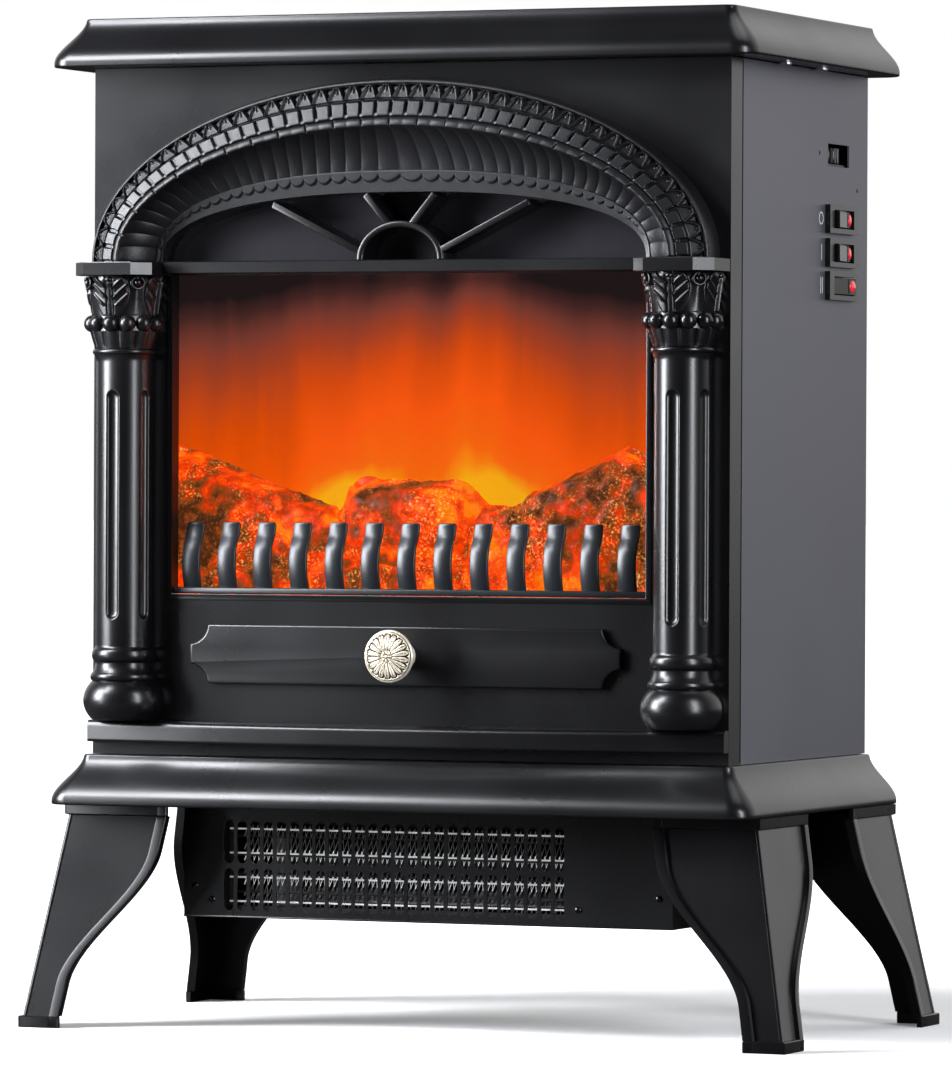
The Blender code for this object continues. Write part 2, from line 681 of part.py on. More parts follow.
def build_drawer_front():
    hole = arc(KNOB_PLACE, KNOB_SCREW_RADIUS + GAP, 0, 330, 11)
    plate = flat_mesh([drawer_outline(), hole], FRONT - 0.0044, FRONT - GAP, "XZ")
    add_part("drawer_front", plate, BLACK_PLASTIC)
    knob_back = 0.0047
    bore = KNOB_SCREW_RADIUS + GAP
    profile = [(bore, knob_back), (0.0088, knob_back), (0.0084, 0.0070), (0.0066, 0.0100), (0.0062, 0.0150),
               (0.0090, 0.0190), (0.0145, 0.0218), (0.0160, 0.0242), (0.0158, 0.0262), (0.0146, 0.0274),
               (0.0120, 0.0288), (0.0080, 0.0300), (0.0040, 0.0306), (0, 0.0308), (0, 0.0200), (bore, 0.0200),
               (bore, knob_back)]
    profile.reverse()
    turned_part("drawer_knob", profile, BRASS, "Y", (KNOB_PLACE[0], FRONT, KNOB_PLACE[1]), steps=24)
    head_top = -FASCIA_THICK - GAP - 0.0022
    screw = [(0, 0.0180), (KNOB_SCREW_RADIUS, 0.0180), (KNOB_SCREW_RADIUS, -FASCIA_THICK - GAP),
             (0.0038, -FASCIA_THICK - GAP), (0.0038, 0.6 * head_top - 0.0012),
             (0.0024, head_top), (0, head_top)]
    turned_part("knob_screw", screw, BRIGHT_STEEL, "Y", (KNOB_PLACE[0], FRONT, KNOB_PLACE[1]), steps=12)


GRATE_BARS = 13
GRATE_HALF = 0.1438
GRATE_BAR_WIDTH = 0.0106


def grate_bar_outline():
    """Side view of one bar: bellied forwards, its head bent back, in (Y, Z)."""
    thickness = 0.0024
    bottom, top = 0.2705, 0.3128
    steps = 8
    front, back = [], []
    for step in range(steps + 1):
        share = step / steps
        belly = -0.0052 * math.sin(math.pi * min(share / 0.8, 1)) + 0.0040 * smooth((share - 0.55) / 0.45)
        z = between(bottom, top, share)
        front.append((FRONT + 0.0038 + belly, z))
        back.append((FRONT + 0.0038 + belly + thickness, z))
    return front + back[::-1]


def build_grate():
    """The low fire grate: a rail with thirteen bent bars."""
    rail = box_mesh((-0.1560, FRONT + 0.0010, WINDOW_BOTTOM + GAP), (0.1560, FRONT + 0.0092, 0.2725))
    grate = add_part("grate", rail, BLACK_PAINT)
    bars = []
    for index in range(GRATE_BARS):
        x = between(-GRATE_HALF, GRATE_HALF, index / (GRATE_BARS - 1))
        bars.append(flat_mesh([grate_bar_outline()], x - GRATE_BAR_WIDTH / 2, x + GRATE_BAR_WIDTH / 2, "YZ"))
    combine(grate, merged(bars), "UNION")


# ---------------------------------------------------------------- fire and flame drive

SHELF_TOP = 0.2620


def build_firebox():
    """The shelf, the translucent ember bed and the flame screen."""
    shelf = rectangle(-0.2000, FRONT + 0.0145, 0.2000, FRONT + 0.1250)
    add_part("firebox_shelf", flat_mesh([shelf], SHELF_TOP - SHEET, SHELF_TOP, "XY"), BRIGHT_STEEL)
    heap = [(-0.1850, SHELF_TOP + GAP), (0.1600, SHELF_TOP + GAP), (0.1600, 0.3420), (0.1350, 0.3570),
            (0.0950, 0.3460), (0.0520, 0.3240), (0.0300, 0.3360), (-0.0100, 0.3400), (-0.0500, 0.3360),
            (-0.0700, 0.3180), (-0.1000, 0.3220), (-0.1500, 0.3420), (-0.1850, 0.3540)]
    bed = add_part("ember_bed", flat_mesh([heap], FRONT + 0.0180, FRONT + 0.0520, "XZ"), EMBER)
    round_edges(bed, 0.004, 2)
    screen = box_mesh((-0.1950, FRONT + 0.0560, SHELF_TOP + GAP), (0.1950, FRONT + 0.0580, 0.5600))
    add_part("flame_screen", screen, FLAME)
    strip = box_mesh((-0.1500, FRONT + 0.0640, SHELF_TOP + GAP), (0.1500, FRONT + 0.0720, 0.2642))
    add_part("led_strip", strip, BOARD_GREEN)


def star_outline(tips, tip_radius, root_radius, tip_width):
    """A hub with flat blades, for the reflector spindle."""
    points = []
    for index in range(tips):
        turn = 2 * math.pi * index / tips
        spread = tip_width / tip_radius
        for angle, radius in ((turn - spread, tip_radius), (turn + spread, tip_radius),
                              (turn + math.pi / tips, root_radius)):
            points.append((radius * math.cos(angle), radius * math.sin(angle)))
    return points


def build_flame_drive():
    """The reflector spindle that makes the flames flicker, its motor and its far bearing."""
    back, height = ROTOR_AXIS
    axle = 0.0020
    reach = 0.1520
    shape = flat_mesh([star_outline(6, 0.0140, 0.0045, 0.0006)], -reach, reach, "YZ")
    rotor = add_part("flame_rotor", shape, BRIGHT_STEEL, (0, FRONT + back, height))
    combine(rotor, rod_mesh((-0.0025, 0, 0), axle, 2 * reach + 0.017, "X", 12), "UNION")
    motor_face = 0.1588
    can = rod_mesh((motor_face + 0.009, 0, 0), 0.0240, 0.018, "X", 24)
    motor = add_part("rotor_motor", can, BRIGHT_STEEL, (0, FRONT + back, height))
    foot_bottom = SHELF_TOP + GAP - height
    foot = box_mesh((motor_face + 0.002, -0.0150, foot_bottom), (motor_face + 0.016, 0.0150, -0.0150))
    combine(motor, foot, "UNION")
    hole = arc((0, height), axle + SHAFT_CLEARANCE, 0, 337.5, 15)
    post = rectangle(-0.0110, SHELF_TOP + GAP, 0.0110, height + 0.0110)
    post_mesh = flat_mesh([post, hole], -0.1600, -0.1560, "YZ")
    add_part("rotor_bearing", post_mesh, WHITE_PLASTIC, (0, FRONT + back, 0))


# ---------------------------------------------------------------- fan heater

def build_heater_box():
    """The housing under the base: open at the front for the grille and at the top for air."""
    front = FRONT + HEATER_FRONT + SHEET + GAP
    back = FRONT + HEATER_BACK
    low = (-HEATER_HALF, front, HEATER_BOTTOM)
    box = add_part("heater_box", box_mesh(low, (HEATER_HALF, back, HEATER_TOP)), BLACK_PAINT)
    space = box_mesh((low[0] + SHEET, front - SHEET, low[2] + SHEET),
                     (HEATER_HALF - SHEET, back - SHEET, HEATER_TOP + SHEET))
    combine(box, space, "DIFFERENCE")


def slot_outline(x, bottom, top):
    """A vertical slot with round ends."""
    half = SLOT_HALF_WIDTH
    return arc((x, top - half), half, 0, 180, 4) + arc((x, bottom + half), half, 180, 360, 4)


def build_heater_grille():
    low = FRONT + HEATER_FRONT
    outlines = [rectangle(-HEATER_HALF, HEATER_BOTTOM, HEATER_HALF, HEATER_TOP)]
    for column in range(SLOT_COLUMNS):
        for bottom, top in SLOT_ROWS:
            outlines.append(slot_outline(SLOT_FIRST_X + column * SLOT_PITCH, bottom, top))
    add_part("heater_grille", flat_mesh(outlines, low, low + SHEET, "XZ"), BLACK_PAINT)


def build_heating_element():
    """A mica frame with the rails that the zigzag resistance ribbon hangs on."""
    left, right = -0.1380, 0.0950
    low, high = 0.0725, 0.1300
    front, back = FRONT + 0.0400, FRONT + 0.0470
    rim = 0.0030
    opening = rectangle(left + rim, low + rim, right - rim, high - rim)
    frame = flat_mesh([rectangle(left, low, right, high), opening], front, back, "XZ")
    element = add_part("heating_element", frame, MICA)
    middle = ((left + right) / 2, (front + back) / 2)
    rails = []
    for share in (0.2, 0.4, 0.6, 0.8):
        place = (middle[0], middle[1], between(low, high, share))
        rails.append(rod_mesh(place, 0.0010, right - left - rim, "X", 6))
    combine(element, merged(rails), "UNION")


def build_blower():
    """The cross-flow fan: impeller, motor, far bearing and the scroll behind the impeller."""
    back, height = BLOWER_AXIS
    place = (0, FRONT + back, height)
    wheel, axle = 0.0200, 0.0025
    left, right = -0.1120, 0.1040
    profile = [(0, 0.1175), (axle, 0.1175), (axle, right), (wheel, right), (wheel, left), (axle, left),
               (axle, -0.1280), (0, -0.1280)]
    turned_part("blower_wheel", profile, BLACK_PAINT, "X", place, steps=24)
    motor = add_part("blower_motor", rod_mesh((0.1350, 0, 0), 0.0230, 0.032, "X", 24), BRIGHT_STEEL, place)
    foot = box_mesh((0.1250, -0.0140, HEATER_BOTTOM + SHEET + GAP - height), (0.1450, 0.0140, -0.0150))
    combine(motor, foot, "UNION")
    hole = arc((0, height), axle + SHAFT_CLEARANCE, 0, 337.5, 15)
    post = rectangle(-0.0120, HEATER_BOTTOM + SHEET + GAP, 0.0120, height + 0.0120)
    add_part("blower_bearing", flat_mesh([post, hole], -0.1250, -0.1200, "YZ"), WHITE_PLASTIC,
             (0, FRONT + back, 0))
    scroll = arc((0, height), 0.0280, 75, -95, 14) + arc((0, height), 0.0268, -95, 75, 14)
    add_part("air_scroll", flat_mesh([scroll], -0.1150, 0.1080, "YZ"), BRIGHT_STEEL, (0, FRONT + back, 0))


def build_wiring_pieces():
    """The terminal block and the thermal cut-out on the base plate."""
    floor = BODY_BOTTOM + SHEET + GAP
    block_mesh = box_mesh((0.1250, FRONT + 0.1900, floor), (0.1700, FRONT + 0.2080, 0.1860))
    block = add_part("terminal_block", block_mesh, WHITE_PLASTIC)
    round_edges(block, 0.0010)
    profile = [(0, 0.0120), (0.0075, 0.0120), (0.0080, 0.0112), (0.0080, 0.0020), (0.0110, 0.0020),
               (0.0110, 0), (0, 0)]
    turned_part("thermal_cutout", profile, BAKELITE, "Z", (-0.1400, FRONT + 0.100, floor), steps=16)


# ---------------------------------------------------------------- controls on the right side

NECK_HALF = (0.0200, 0.0069)
CUTOUT_HALF = (NECK_HALF[0] + GAP, NECK_HALF[1] + GAP)
CAVITY_HALF = (0.0176, 0.00575)
ROCKER_HALF = (0.0162, 0.00535)
ROCKER_PIVOT = HALF - 0.0040
PIN_RADIUS = 0.0012


def build_switch(word, z, rear_pressed):
    """A snap-in rocker switch: housing with a bezel, and a rocker that tips about Z on two pins."""
    middle = FRONT + SWITCH_MIDDLE
    inner = HALF - 0.0280
    face = HALF + BEZEL_PROUD
    place = (0, middle, z)
    bezel_half = (BEZEL_SIZE[0] / 2, BEZEL_SIZE[1] / 2)
    bezel = box_mesh((HALF + GAP, -bezel_half[0], -bezel_half[1]), (face, *bezel_half))
    housing = add_part(word + "_switch", bezel, BLACK_PLASTIC, place)
    neck = box_mesh((inner, -NECK_HALF[0], -NECK_HALF[1]), (face - 0.001, NECK_HALF[0], NECK_HALF[1]))
    combine(housing, neck, "UNION")
    cavity = box_mesh((HALF - 0.0115, -CAVITY_HALF[0], -CAVITY_HALF[1]), (face + 0.002, *CAVITY_HALF))
    combine(housing, cavity, "DIFFERENCE")
    hole_radius = PIN_RADIUS + SHAFT_CLEARANCE
    pin_holes = rod_mesh((ROCKER_PIVOT, 0, 0), hole_radius, 2 * NECK_HALF[1] + 0.001, "Z", 12)
    combine(housing, pin_holes, "DIFFERENCE")
    half, thick = ROCKER_HALF
    top = 0.0078
    outline = [(-0.0030, -half), (top, -half), (top, half), (-0.0030, half), (-0.0050, 0.0080),
               (-0.0050, -0.0080)]
    tilt = ROCKER_TILT if rear_pressed else -ROCKER_TILT
    rocker = add_part(word + "_rocker", flat_mesh([outline], -thick, thick, "XY"), BLACK_PLASTIC,
                      (ROCKER_PIVOT, middle, z), (0, 0, math.radians(tilt)))
    round_edges(rocker, 0.0003)
    combine(rocker, rod_mesh((0, 0, 0), PIN_RADIUS, 0.0128, "Z", 12), "UNION")


def build_thermostat():
    """The thermostat and its ribbed thumbwheel, which turns about Z behind a window."""
    axis_x = HALF - 0.0010 - THERMOSTAT_RADIUS
    middle = FRONT + THERMOSTAT_MIDDLE
    wheel_half = 0.0050
    stud = 0.0030
    body_top = -wheel_half - GAP
    place = (axis_x, middle, THERMOSTAT_Z)
    body = add_part("thermostat_body", box_mesh((-0.0180, -0.0160, -0.0240), (0.0205, 0.0160, body_top)),
                    WHITE_PLASTIC, place)
    combine(body, rod_mesh((0, 0, 0), stud, 2 * wheel_half + 0.002, "Z", 16), "UNION")
    ribs = 40
    outline = []
    for index in range(ribs):
        root = THERMOSTAT_RADIUS - 0.0009
        for share, radius in ((0.0, THERMOSTAT_RADIUS), (0.45, THERMOSTAT_RADIUS), (0.6, root), (0.85, root)):
            angle = 2 * math.pi * (index + share) / ribs
            outline.append((radius * math.cos(angle), radius * math.sin(angle)))
    bore = arc((0, 0), stud + SHAFT_CLEARANCE, 0, 337.5, 15)
    wheel = flat_mesh([outline, bore], -wheel_half, wheel_half, "XY")
    add_part("thermostat_wheel", wheel, BLACK_PLASTIC, place)


# ---------------------------------------------------------------- build

clear_scene()
parts = make_collection("electric_fireplace")
cutters = make_collection("cutters")

build_top_cap()
build_cap_plate()
build_cap_screws()
build_base_moulding()
build_legs()
build_side_panels()
build_back_panel()
build_base_plate()
build_fascia()
build_glass()
build_arch()
build_fanlight_grille()
build_transom()
build_columns()
build_sill_ledge()
build_drawer_front()
build_grate()
build_firebox()
build_flame_drive()
build_heater_box()
build_heater_grille()
build_heating_element()
build_blower()
build_wiring_pieces()
build_switch("power", SWITCH_LEVELS["power"], rear_pressed=True)
build_switch("low_heat", SWITCH_LEVELS["low_heat"], rear_pressed=True)
build_switch("high_heat", SWITCH_LEVELS["high_heat"], rear_pressed=False)
build_thermostat()
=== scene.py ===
"""The looks of the electric fireplace stove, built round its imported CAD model."""

import json
from math import atan2, cos, hypot, pi, radians, sin, sqrt

import bmesh
import bpy
import numpy as np
from mathutils import Matrix, Vector, noise


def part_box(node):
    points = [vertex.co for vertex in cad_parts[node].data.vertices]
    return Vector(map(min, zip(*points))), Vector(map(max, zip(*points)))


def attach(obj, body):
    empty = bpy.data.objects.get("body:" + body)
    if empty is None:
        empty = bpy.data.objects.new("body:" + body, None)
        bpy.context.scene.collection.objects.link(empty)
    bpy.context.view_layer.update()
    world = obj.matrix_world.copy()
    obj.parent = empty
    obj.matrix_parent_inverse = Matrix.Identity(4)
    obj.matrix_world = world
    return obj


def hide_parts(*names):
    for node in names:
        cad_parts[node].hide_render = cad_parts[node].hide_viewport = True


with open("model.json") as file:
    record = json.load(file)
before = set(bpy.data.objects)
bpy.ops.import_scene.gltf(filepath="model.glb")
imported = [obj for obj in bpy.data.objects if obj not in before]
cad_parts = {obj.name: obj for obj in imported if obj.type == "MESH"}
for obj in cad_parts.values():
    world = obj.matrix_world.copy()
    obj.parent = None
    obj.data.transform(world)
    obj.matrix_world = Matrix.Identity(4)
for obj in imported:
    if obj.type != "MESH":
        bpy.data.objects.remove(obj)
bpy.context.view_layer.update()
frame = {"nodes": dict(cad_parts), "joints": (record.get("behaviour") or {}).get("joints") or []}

# ---- places, read from the CAD frame

GAP = 0.0003
STOVE = "stove"
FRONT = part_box("front_fascia")[0].y          # the fascia's face; the stove's back is at higher Y
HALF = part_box("right_side_panel")[1].x       # half the cabinet's width
CAP_BOTTOM, CAP_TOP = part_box("top_cap")[0].z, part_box("top_cap")[1].z
BASE_BOTTOM, BASE_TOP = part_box("base_moulding")[0].z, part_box("base_moulding")[1].z
SPRING_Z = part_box("arch_moulding")[0].z
WINDOW_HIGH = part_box("transom_bar")[0].z


# ---- mesh helpers

def tidy_mesh(bm, name, sharp=38):
    """Welds, turns faces outwards, shades soft edges smooth and returns the mesh."""
    bmesh.ops.remove_doubles(bm, verts=bm.verts, dist=0.000001)
    bmesh.ops.recalc_face_normals(bm, faces=bm.faces)
    mesh = bpy.data.meshes.new(name)
    bm.to_mesh(mesh)
    bm.free()
    mesh.shade_smooth()
    mesh.set_sharp_from_angle(angle=radians(sharp))
    return mesh


def edit_mesh(mesh):
    """The mesh as an edit mesh. The mesh itself is removed."""
    bm = bmesh.new()
    bm.from_mesh(mesh)
    bpy.data.meshes.remove(mesh)
    return bm


def skin(name, grid, sharp=38):
    """Closed skin over rings of points: each ring closes on itself, and the end rings are filled."""
    grid = np.asarray(grid, float)
    rows, columns = grid.shape[:2]
    index = np.arange(rows * columns).reshape(rows, columns)
    after = np.roll(index, -1, axis=1)
    quads = np.stack([index[:-1], after[:-1], after[1:], index[1:]], axis=-1).reshape(-1, 4)
    faces = quads.tolist() + [index[0].tolist(), index[-1].tolist()]
    mesh = bpy.data.meshes.new(name)
    mesh.from_pydata(grid.reshape(-1, 3).tolist(), [], faces)
    return tidy_mesh(edit_mesh(mesh), name, sharp)


def joined(name, meshes, sharp=38):
    bm = bmesh.new()
    for mesh in meshes:
        bm.from_mesh(mesh)
    return tidy_mesh(bm, name, sharp)


def box_mesh(name, low, high, bevel=0.0):
    bm = bmesh.new()
    bmesh.ops.create_cube(bm, size=1.0)
    bmesh.ops.scale(bm, vec=[b - a for a, b in zip(low, high)], verts=bm.verts)
    bmesh.ops.translate(bm, vec=[(a + b) / 2 for a, b in zip(low, high)], verts=bm.verts)
    if bevel:
        bmesh.ops.bevel(bm, geom=bm.edges, offset=bevel, segments=2, profile=0.5, affect="EDGES")
    return tidy_mesh(bm, name)


def curve_mesh(curve, lines, closed):
    """Runs the curve through each line of points and returns it as an edit mesh."""
    for line in lines:
        spline = curve.splines.new("POLY")
        spline.points.add(len(line) - 1)
        for point, place in zip(spline.points, line):
            point.co = (*place, 1)
        spline.use_cyclic_u = closed
    guide = bpy.data.objects.new(curve.name, curve)
    mesh = bpy.data.meshes.new_from_object(guide)
    bpy.data.objects.remove(guide)
    bpy.data.curves.remove(curve)
    return edit_mesh(mesh)


def flat_mesh(name, outlines, low, high, plane="XZ"):
    """Closed outlines, holes among them, filled and extruded along the axis that plane lacks."""
    turn, normal = {"XZ": (Matrix.Rotation(radians(90), 4, "X"), Vector((0, 1, 0))),
                    "YZ": (Matrix(((0, 0, 1, 0), (1, 0, 0, 0), (0, 1, 0, 0), (0, 0, 0, 1))),
                           Vector((1, 0, 0)))}[plane]
    curve = bpy.data.curves.new(name, "CURVE")
    curve.dimensions = "2D"
    curve.fill_mode = "BOTH"
    curve.extrude = (high - low) / 2
    bm = curve_mesh(curve, [[(u, v, 0) for u, v in outline] for outline in outlines], True)
    bmesh.ops.transform(bm, matrix=turn, verts=bm.verts)
    bmesh.ops.translate(bm, vec=normal * (low + high) / 2, verts=bm.verts)
    return tidy_mesh(bm, name)


def wire_mesh(name, lines, radius, sides=6):
    """Round wire along each list of points."""
    curve = bpy.data.curves.new(name, "CURVE")
    curve.dimensions = "3D"
    curve.bevel_depth = radius
    curve.bevel_resolution = max(sides // 2 - 2, 0)
    curve.use_fill_caps = True
    return tidy_mesh(curve_mesh(curve, lines, False), name, 60)


def lathe(name, profile, place, axis, steps=32):
    """A (radius, height) profile turned about axis, its heights measured along axis from place."""
    axis = Vector(axis)
    turn = Vector((0, 0, 1)).rotation_difference(axis)
    angles = np.linspace(0, 2 * pi, steps, endpoint=False)
    rings = []
    for radius, height in profile:
        ring = [Vector((radius * cos(a), radius * sin(a), height)) for a in angles]
        rings.append([tuple(Vector(place) + turn @ point) for point in ring])
    return skin(name, rings)


def arc(centre, radius, start, end, steps):
    angles = np.radians(np.linspace(start, end, steps + 1))
    return [(centre[0] + radius * cos(a), centre[1] + radius * sin(a)) for a in angles]


def turns(start, end, count):
    """Evenly spaced angles between two given in degrees."""
    return np.radians(np.linspace(start, end, count))


def smooth(value):
    value = np.clip(value, 0, 1)
    return value * value * (3 - 2 * value)


def dome(value):
    """1 in the middle, falling on a half circle to 0 at -1 and 1."""
    return np.sqrt(np.clip(1 - np.square(value), 0, 1))


def between(first, second, share):
    return first + (second - first) * share


def add_piece(name, mesh, material, stands_for="", body=STOVE):
    piece = bpy.data.objects.new(name, mesh)
    mesh.materials.clear()
    mesh.materials.append(material)
    bpy.context.scene.collection.objects.link(piece)
    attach(piece, body)
    if stands_for:
        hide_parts(stands_for)


def soften(piece, width):
    bevel = piece.modifiers.new("Edges", "BEVEL")
    bevel.width = width
    bevel.segments = 2
    bevel.limit_method = "ANGLE"
    bevel.angle_limit = radians(40)
    bevel.use_clamp_overlap = True


# ---- material helpers

def set_inputs(tree, node, inputs):
    """Gives each input its value, or links it where the value is another node's output socket."""
    for key, value in inputs.items():
        if isinstance(value, bpy.types.NodeSocket):
            tree.links.new(value, node.inputs[key])
        else:
            node.inputs[key].default_value = value


def add_node(tree, kind, inputs=None, **settings):
    node = tree.nodes.new(kind)
    for key, value in settings.items():
        setattr(node, key, value)
    set_inputs(tree, node, inputs or {})
    return node


def map_range(tree, value, low, high, start, end, **settings):
    """Maps a value between start and end to between low and high."""
    inputs = {"Value": value, "From Min": start, "From Max": end, "To Min": low, "To Max": high}
    return add_node(tree, "ShaderNodeMapRange", inputs, **settings).outputs["Result"]


class Finish:
    """A material in the making: the nodes that feed its one shader."""

    def __init__(self, name):
        self.material = bpy.data.materials.new(name)
        self.material.use_nodes = True
        self.tree = self.material.node_tree
        self.place = self.node("ShaderNodeTexCoord").outputs["Object"]

    def node(self, kind, inputs=None, **settings):
        return add_node(self.tree, kind, inputs, **settings)

    def axes(self):
        return self.node("ShaderNodeSeparateXYZ", {0: self.place}).outputs

    def noise(self, scale, detail=4.0, stretch=(1, 1, 1), distortion=0.0):
        mapping = self.node("ShaderNodeMapping", {"Vector": self.place, "Scale": stretch})
        inputs = {"Vector": mapping.outputs["Vector"], "Scale": scale, "Detail": detail,
                  "Distortion": distortion}
        return self.node("ShaderNodeTexNoise", inputs).outputs["Fac"]

    def ramp(self, factor, *stops):
        """A colour ramp through (position, colour) stops; a colour is linear RGB."""
        node = self.node("ShaderNodeValToRGB", {"Fac": factor})
        ramp = node.color_ramp
        while len(ramp.elements) < len(stops):
            ramp.elements.new(0.5)
        for element, (position, colour) in zip(ramp.elements, stops):
            element.position = position
            element.color = (*colour, 1)
        return node.outputs["Color"]

    def maths(self, operation, first, second=0.0):
        return self.node("ShaderNodeMath", {0: first, 1: second}, operation=operation).outputs[0]

    def away(self, value, centre):
        """How far the value is from the centre, on either side."""
        return self.maths("ABSOLUTE", self.maths("SUBTRACT", value, centre))

    def spread(self, factor, low, high, start=0.3, end=0.7, **settings):
        """Maps a noise value, or another between start and end, to between low and high."""
        return map_range(self.tree, factor, low, high, start, end, **settings)

    def bump(self, height, strength, distance=0.0002):
        inputs = {"Height": height, "Strength": strength, "Distance": distance}
        return self.node("ShaderNodeBump", inputs).outputs["Normal"]

    def fed(self, inputs):
        """Feeds the shader and returns the material."""
        set_inputs(self.tree, self.tree.nodes["Principled BSDF"], inputs)
        return self.material


def coated(name, dark, light, roughness, grain, bump, metallic=0.0, specular=0.5):
    """Paint, plastic or plated metal: cloudy colour and gloss over a fine grain."""
    finish = Finish(name)
    clouds = finish.noise(9.0, 5.0)
    return finish.fed({"Base Color": finish.ramp(clouds, (0.3, dark), (0.7, light)),
                       "Roughness": finish.spread(clouds, roughness - 0.03, roughness + 0.04),
                       "Metallic": metallic, "Specular IOR Level": specular,
                       "Normal": finish.bump(finish.noise(grain, 3.0), bump)})


def clear_glass():
    finish = Finish("clear_glass")
    tint = (0.97, 0.98, 0.99)
    haze = finish.noise(12.0, 3.0)
    return finish.fed({"Base Color": finish.ramp(haze, (0.3, tint), (0.8, [0.94 * c for c in tint])),
                       "Roughness": finish.spread(haze, 0.0, 0.01),
                       "Transmission Weight": 1.0, "IOR": 1.3})


def brushed(name, dark, light, roughness, stretch, metallic=1.0, lift=0.0):
    """Bare metal with fine lines along the axis that stretch leaves at 1; lift is a painted glow, emission in
    the metal's own colour that brightens it in deep shade.
    """
    finish = Finish(name)
    lines = finish.noise(300.0, 3.0, stretch)
    colour = finish.ramp(lines, (0.3, dark), (0.7, light))
    # Emission Strength takes lift: a painted glow that lightens the metal where little light reaches.
    return finish.fed({"Base Color": colour, "Emission Color": colour, "Emission Strength": lift,
                       "Roughness": finish.spread(lines, roughness - 0.08, roughness + 0.08),
                       "Metallic": metallic, "Normal": finish.bump(lines, 0.1)})


def brass_material():
    """Pale polished brass, with painted shade in its hollows and a painted highlight on its ridges."""
    finish = Finish("pale_brass")
    hollow = finish.node("ShaderNodeNewGeometry").outputs["Pointiness"]
    scuffs = finish.noise(500.0, 4.0)
    # Colour by pointiness: near black in the hollows is painted shade, near white on the ridges is painted
    # highlight.
    shade = finish.ramp(hollow, (0.46, (0.010, 0.005, 0.002)), (0.492, (0.22, 0.15, 0.08)),
                        (0.515, (0.93, 0.85, 0.68)), (0.56, (1.0, 0.95, 0.84)))
    return finish.fed({"Base Color": shade, "Roughness": finish.spread(scuffs, 0.20, 0.30), "Metallic": 0.5,
                       "Normal": finish.bump(scuffs, 0.04, 0.0001)})


def ember_material():
    """Lit translucent resin: red and orange glow, dark bark and bright glittering veins."""
    finish = Finish("ember_resin")
    rough = finish.noise(120.0, 8.0, distortion=0.3)
    glitter = finish.noise(620.0, 5.0)
    heat = finish.maths("ADD", finish.spread(finish.noise(30.0, 2.0), 0.04, 0.74, 0.36, 0.62),
                        finish.spread(rough, 0.0, 0.40, 0.36, 0.64))
    off_centre = finish.away(finish.axes()["X"], 0.0)
    heat = finish.maths("SUBTRACT", heat, finish.spread(off_centre, 0.0, 0.16, 0.03, 0.15))
    glow = finish.ramp(heat, (0.05, (0.070, 0.018, 0.005)), (0.26, (0.24, 0.050, 0.008)),
                       (0.46, (0.50, 0.034, 0.002)), (0.64, (0.92, 0.040, 0.001)),
                       (0.86, (1.0, 0.085, 0.001)), (1.0, (1.0, 0.20, 0.002)))
    veins = finish.ramp(glitter, (0.48, (0, 0, 0)), (0.58, (0.34, 0.10, 0.015)), (0.70, (1.1, 0.52, 0.14)))
    veined = finish.spread(finish.noise(42.0, 4.0), 0.15, 1.0, 0.46, 0.60)
    lit = finish.node("ShaderNodeMix", {"Factor": veined, 6: glow, 7: veins}, data_type="RGBA",
                      blend_type="ADD").outputs[2]
    bark = finish.ramp(rough, (0.3, (0.012, 0.003, 0.002)), (0.7, (0.06, 0.010, 0.003)))
    return finish.fed({"Emission Color": lit, "Emission Strength": 1.0, "Base Color": bark,
                       "Roughness": finish.spread(glitter, 0.22, 0.6), "Specular IOR Level": 0.08,
                       "Normal": finish.bump(rough, 0.5, 0.002)})


def flame_material():
    """The lit screen: yellow low in the middle, through orange to smoky maroon at the top."""
    finish = Finish("flame_film")
    axes = finish.axes()
    rise = finish.spread(axes["Z"], 0.0, 1.0, 0.322, 0.462)
    steep = finish.maths("POWER", rise, 4.0)
    drop = finish.maths("ADD", finish.maths("MULTIPLY", rise, 0.54), finish.maths("MULTIPLY", steep, 0.36))
    streaks = finish.noise(30.0, 4.0, (1.0, 0.1, 0.10), 0.3)
    tongues = finish.noise(11.0, 3.0, (1.0, 0.1, 0.22), 0.4)
    flicker = finish.maths("ADD", finish.spread(streaks, -0.05, 0.05), finish.spread(tongues, -0.13, 0.13))
    edges = finish.spread(finish.away(axes["X"], 0.005), 0.0, 0.29, 0.03, 0.17)
    heat = finish.maths("SUBTRACT", finish.maths("SUBTRACT", 0.98, drop), edges)
    heat = finish.maths("ADD", heat, flicker)
    low_down = finish.spread(rise, 1.0, 0.0, 0.0, 0.20)
    for gap_x, width in ((-0.064, 0.040), (0.040, 0.034)):        # the gaps between the heaps of coals
        near = finish.spread(finish.away(axes["X"], gap_x), 0.34, 0.0, 0.0, width)
        heat = finish.maths("ADD", heat, finish.maths("MULTIPLY", low_down, near))
    glow = finish.ramp(heat, (0.0, (0.014, 0.008, 0.009)), (0.12, (0.060, 0.020, 0.017)),
                       (0.25, (0.185, 0.042, 0.028)), (0.40, (0.38, 0.050, 0.014)),
                       (0.56, (0.72, 0.070, 0.001)), (0.72, (1.0, 0.100, 0.001)),
                       (0.87, (1.0, 0.140, 0.001)), (1.0, (1.0, 0.42, 0.004)))
    low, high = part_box("flame_screen")
    middle = (low.y + high.y) / 2
    front_only = finish.spread(axes["Y"], 1.0, 0.03, middle - 0.0001, middle + 0.0001)
    film = finish.ramp(streaks, (0.3, (0.004, 0.002, 0.002)), (0.7, (0.008, 0.004, 0.004)))
    return finish.fed({"Emission Color": glow, "Emission Strength": front_only, "Base Color": film,
                       "Specular IOR Level": 0.0, "Roughness": finish.spread(streaks, 0.6, 0.8)})


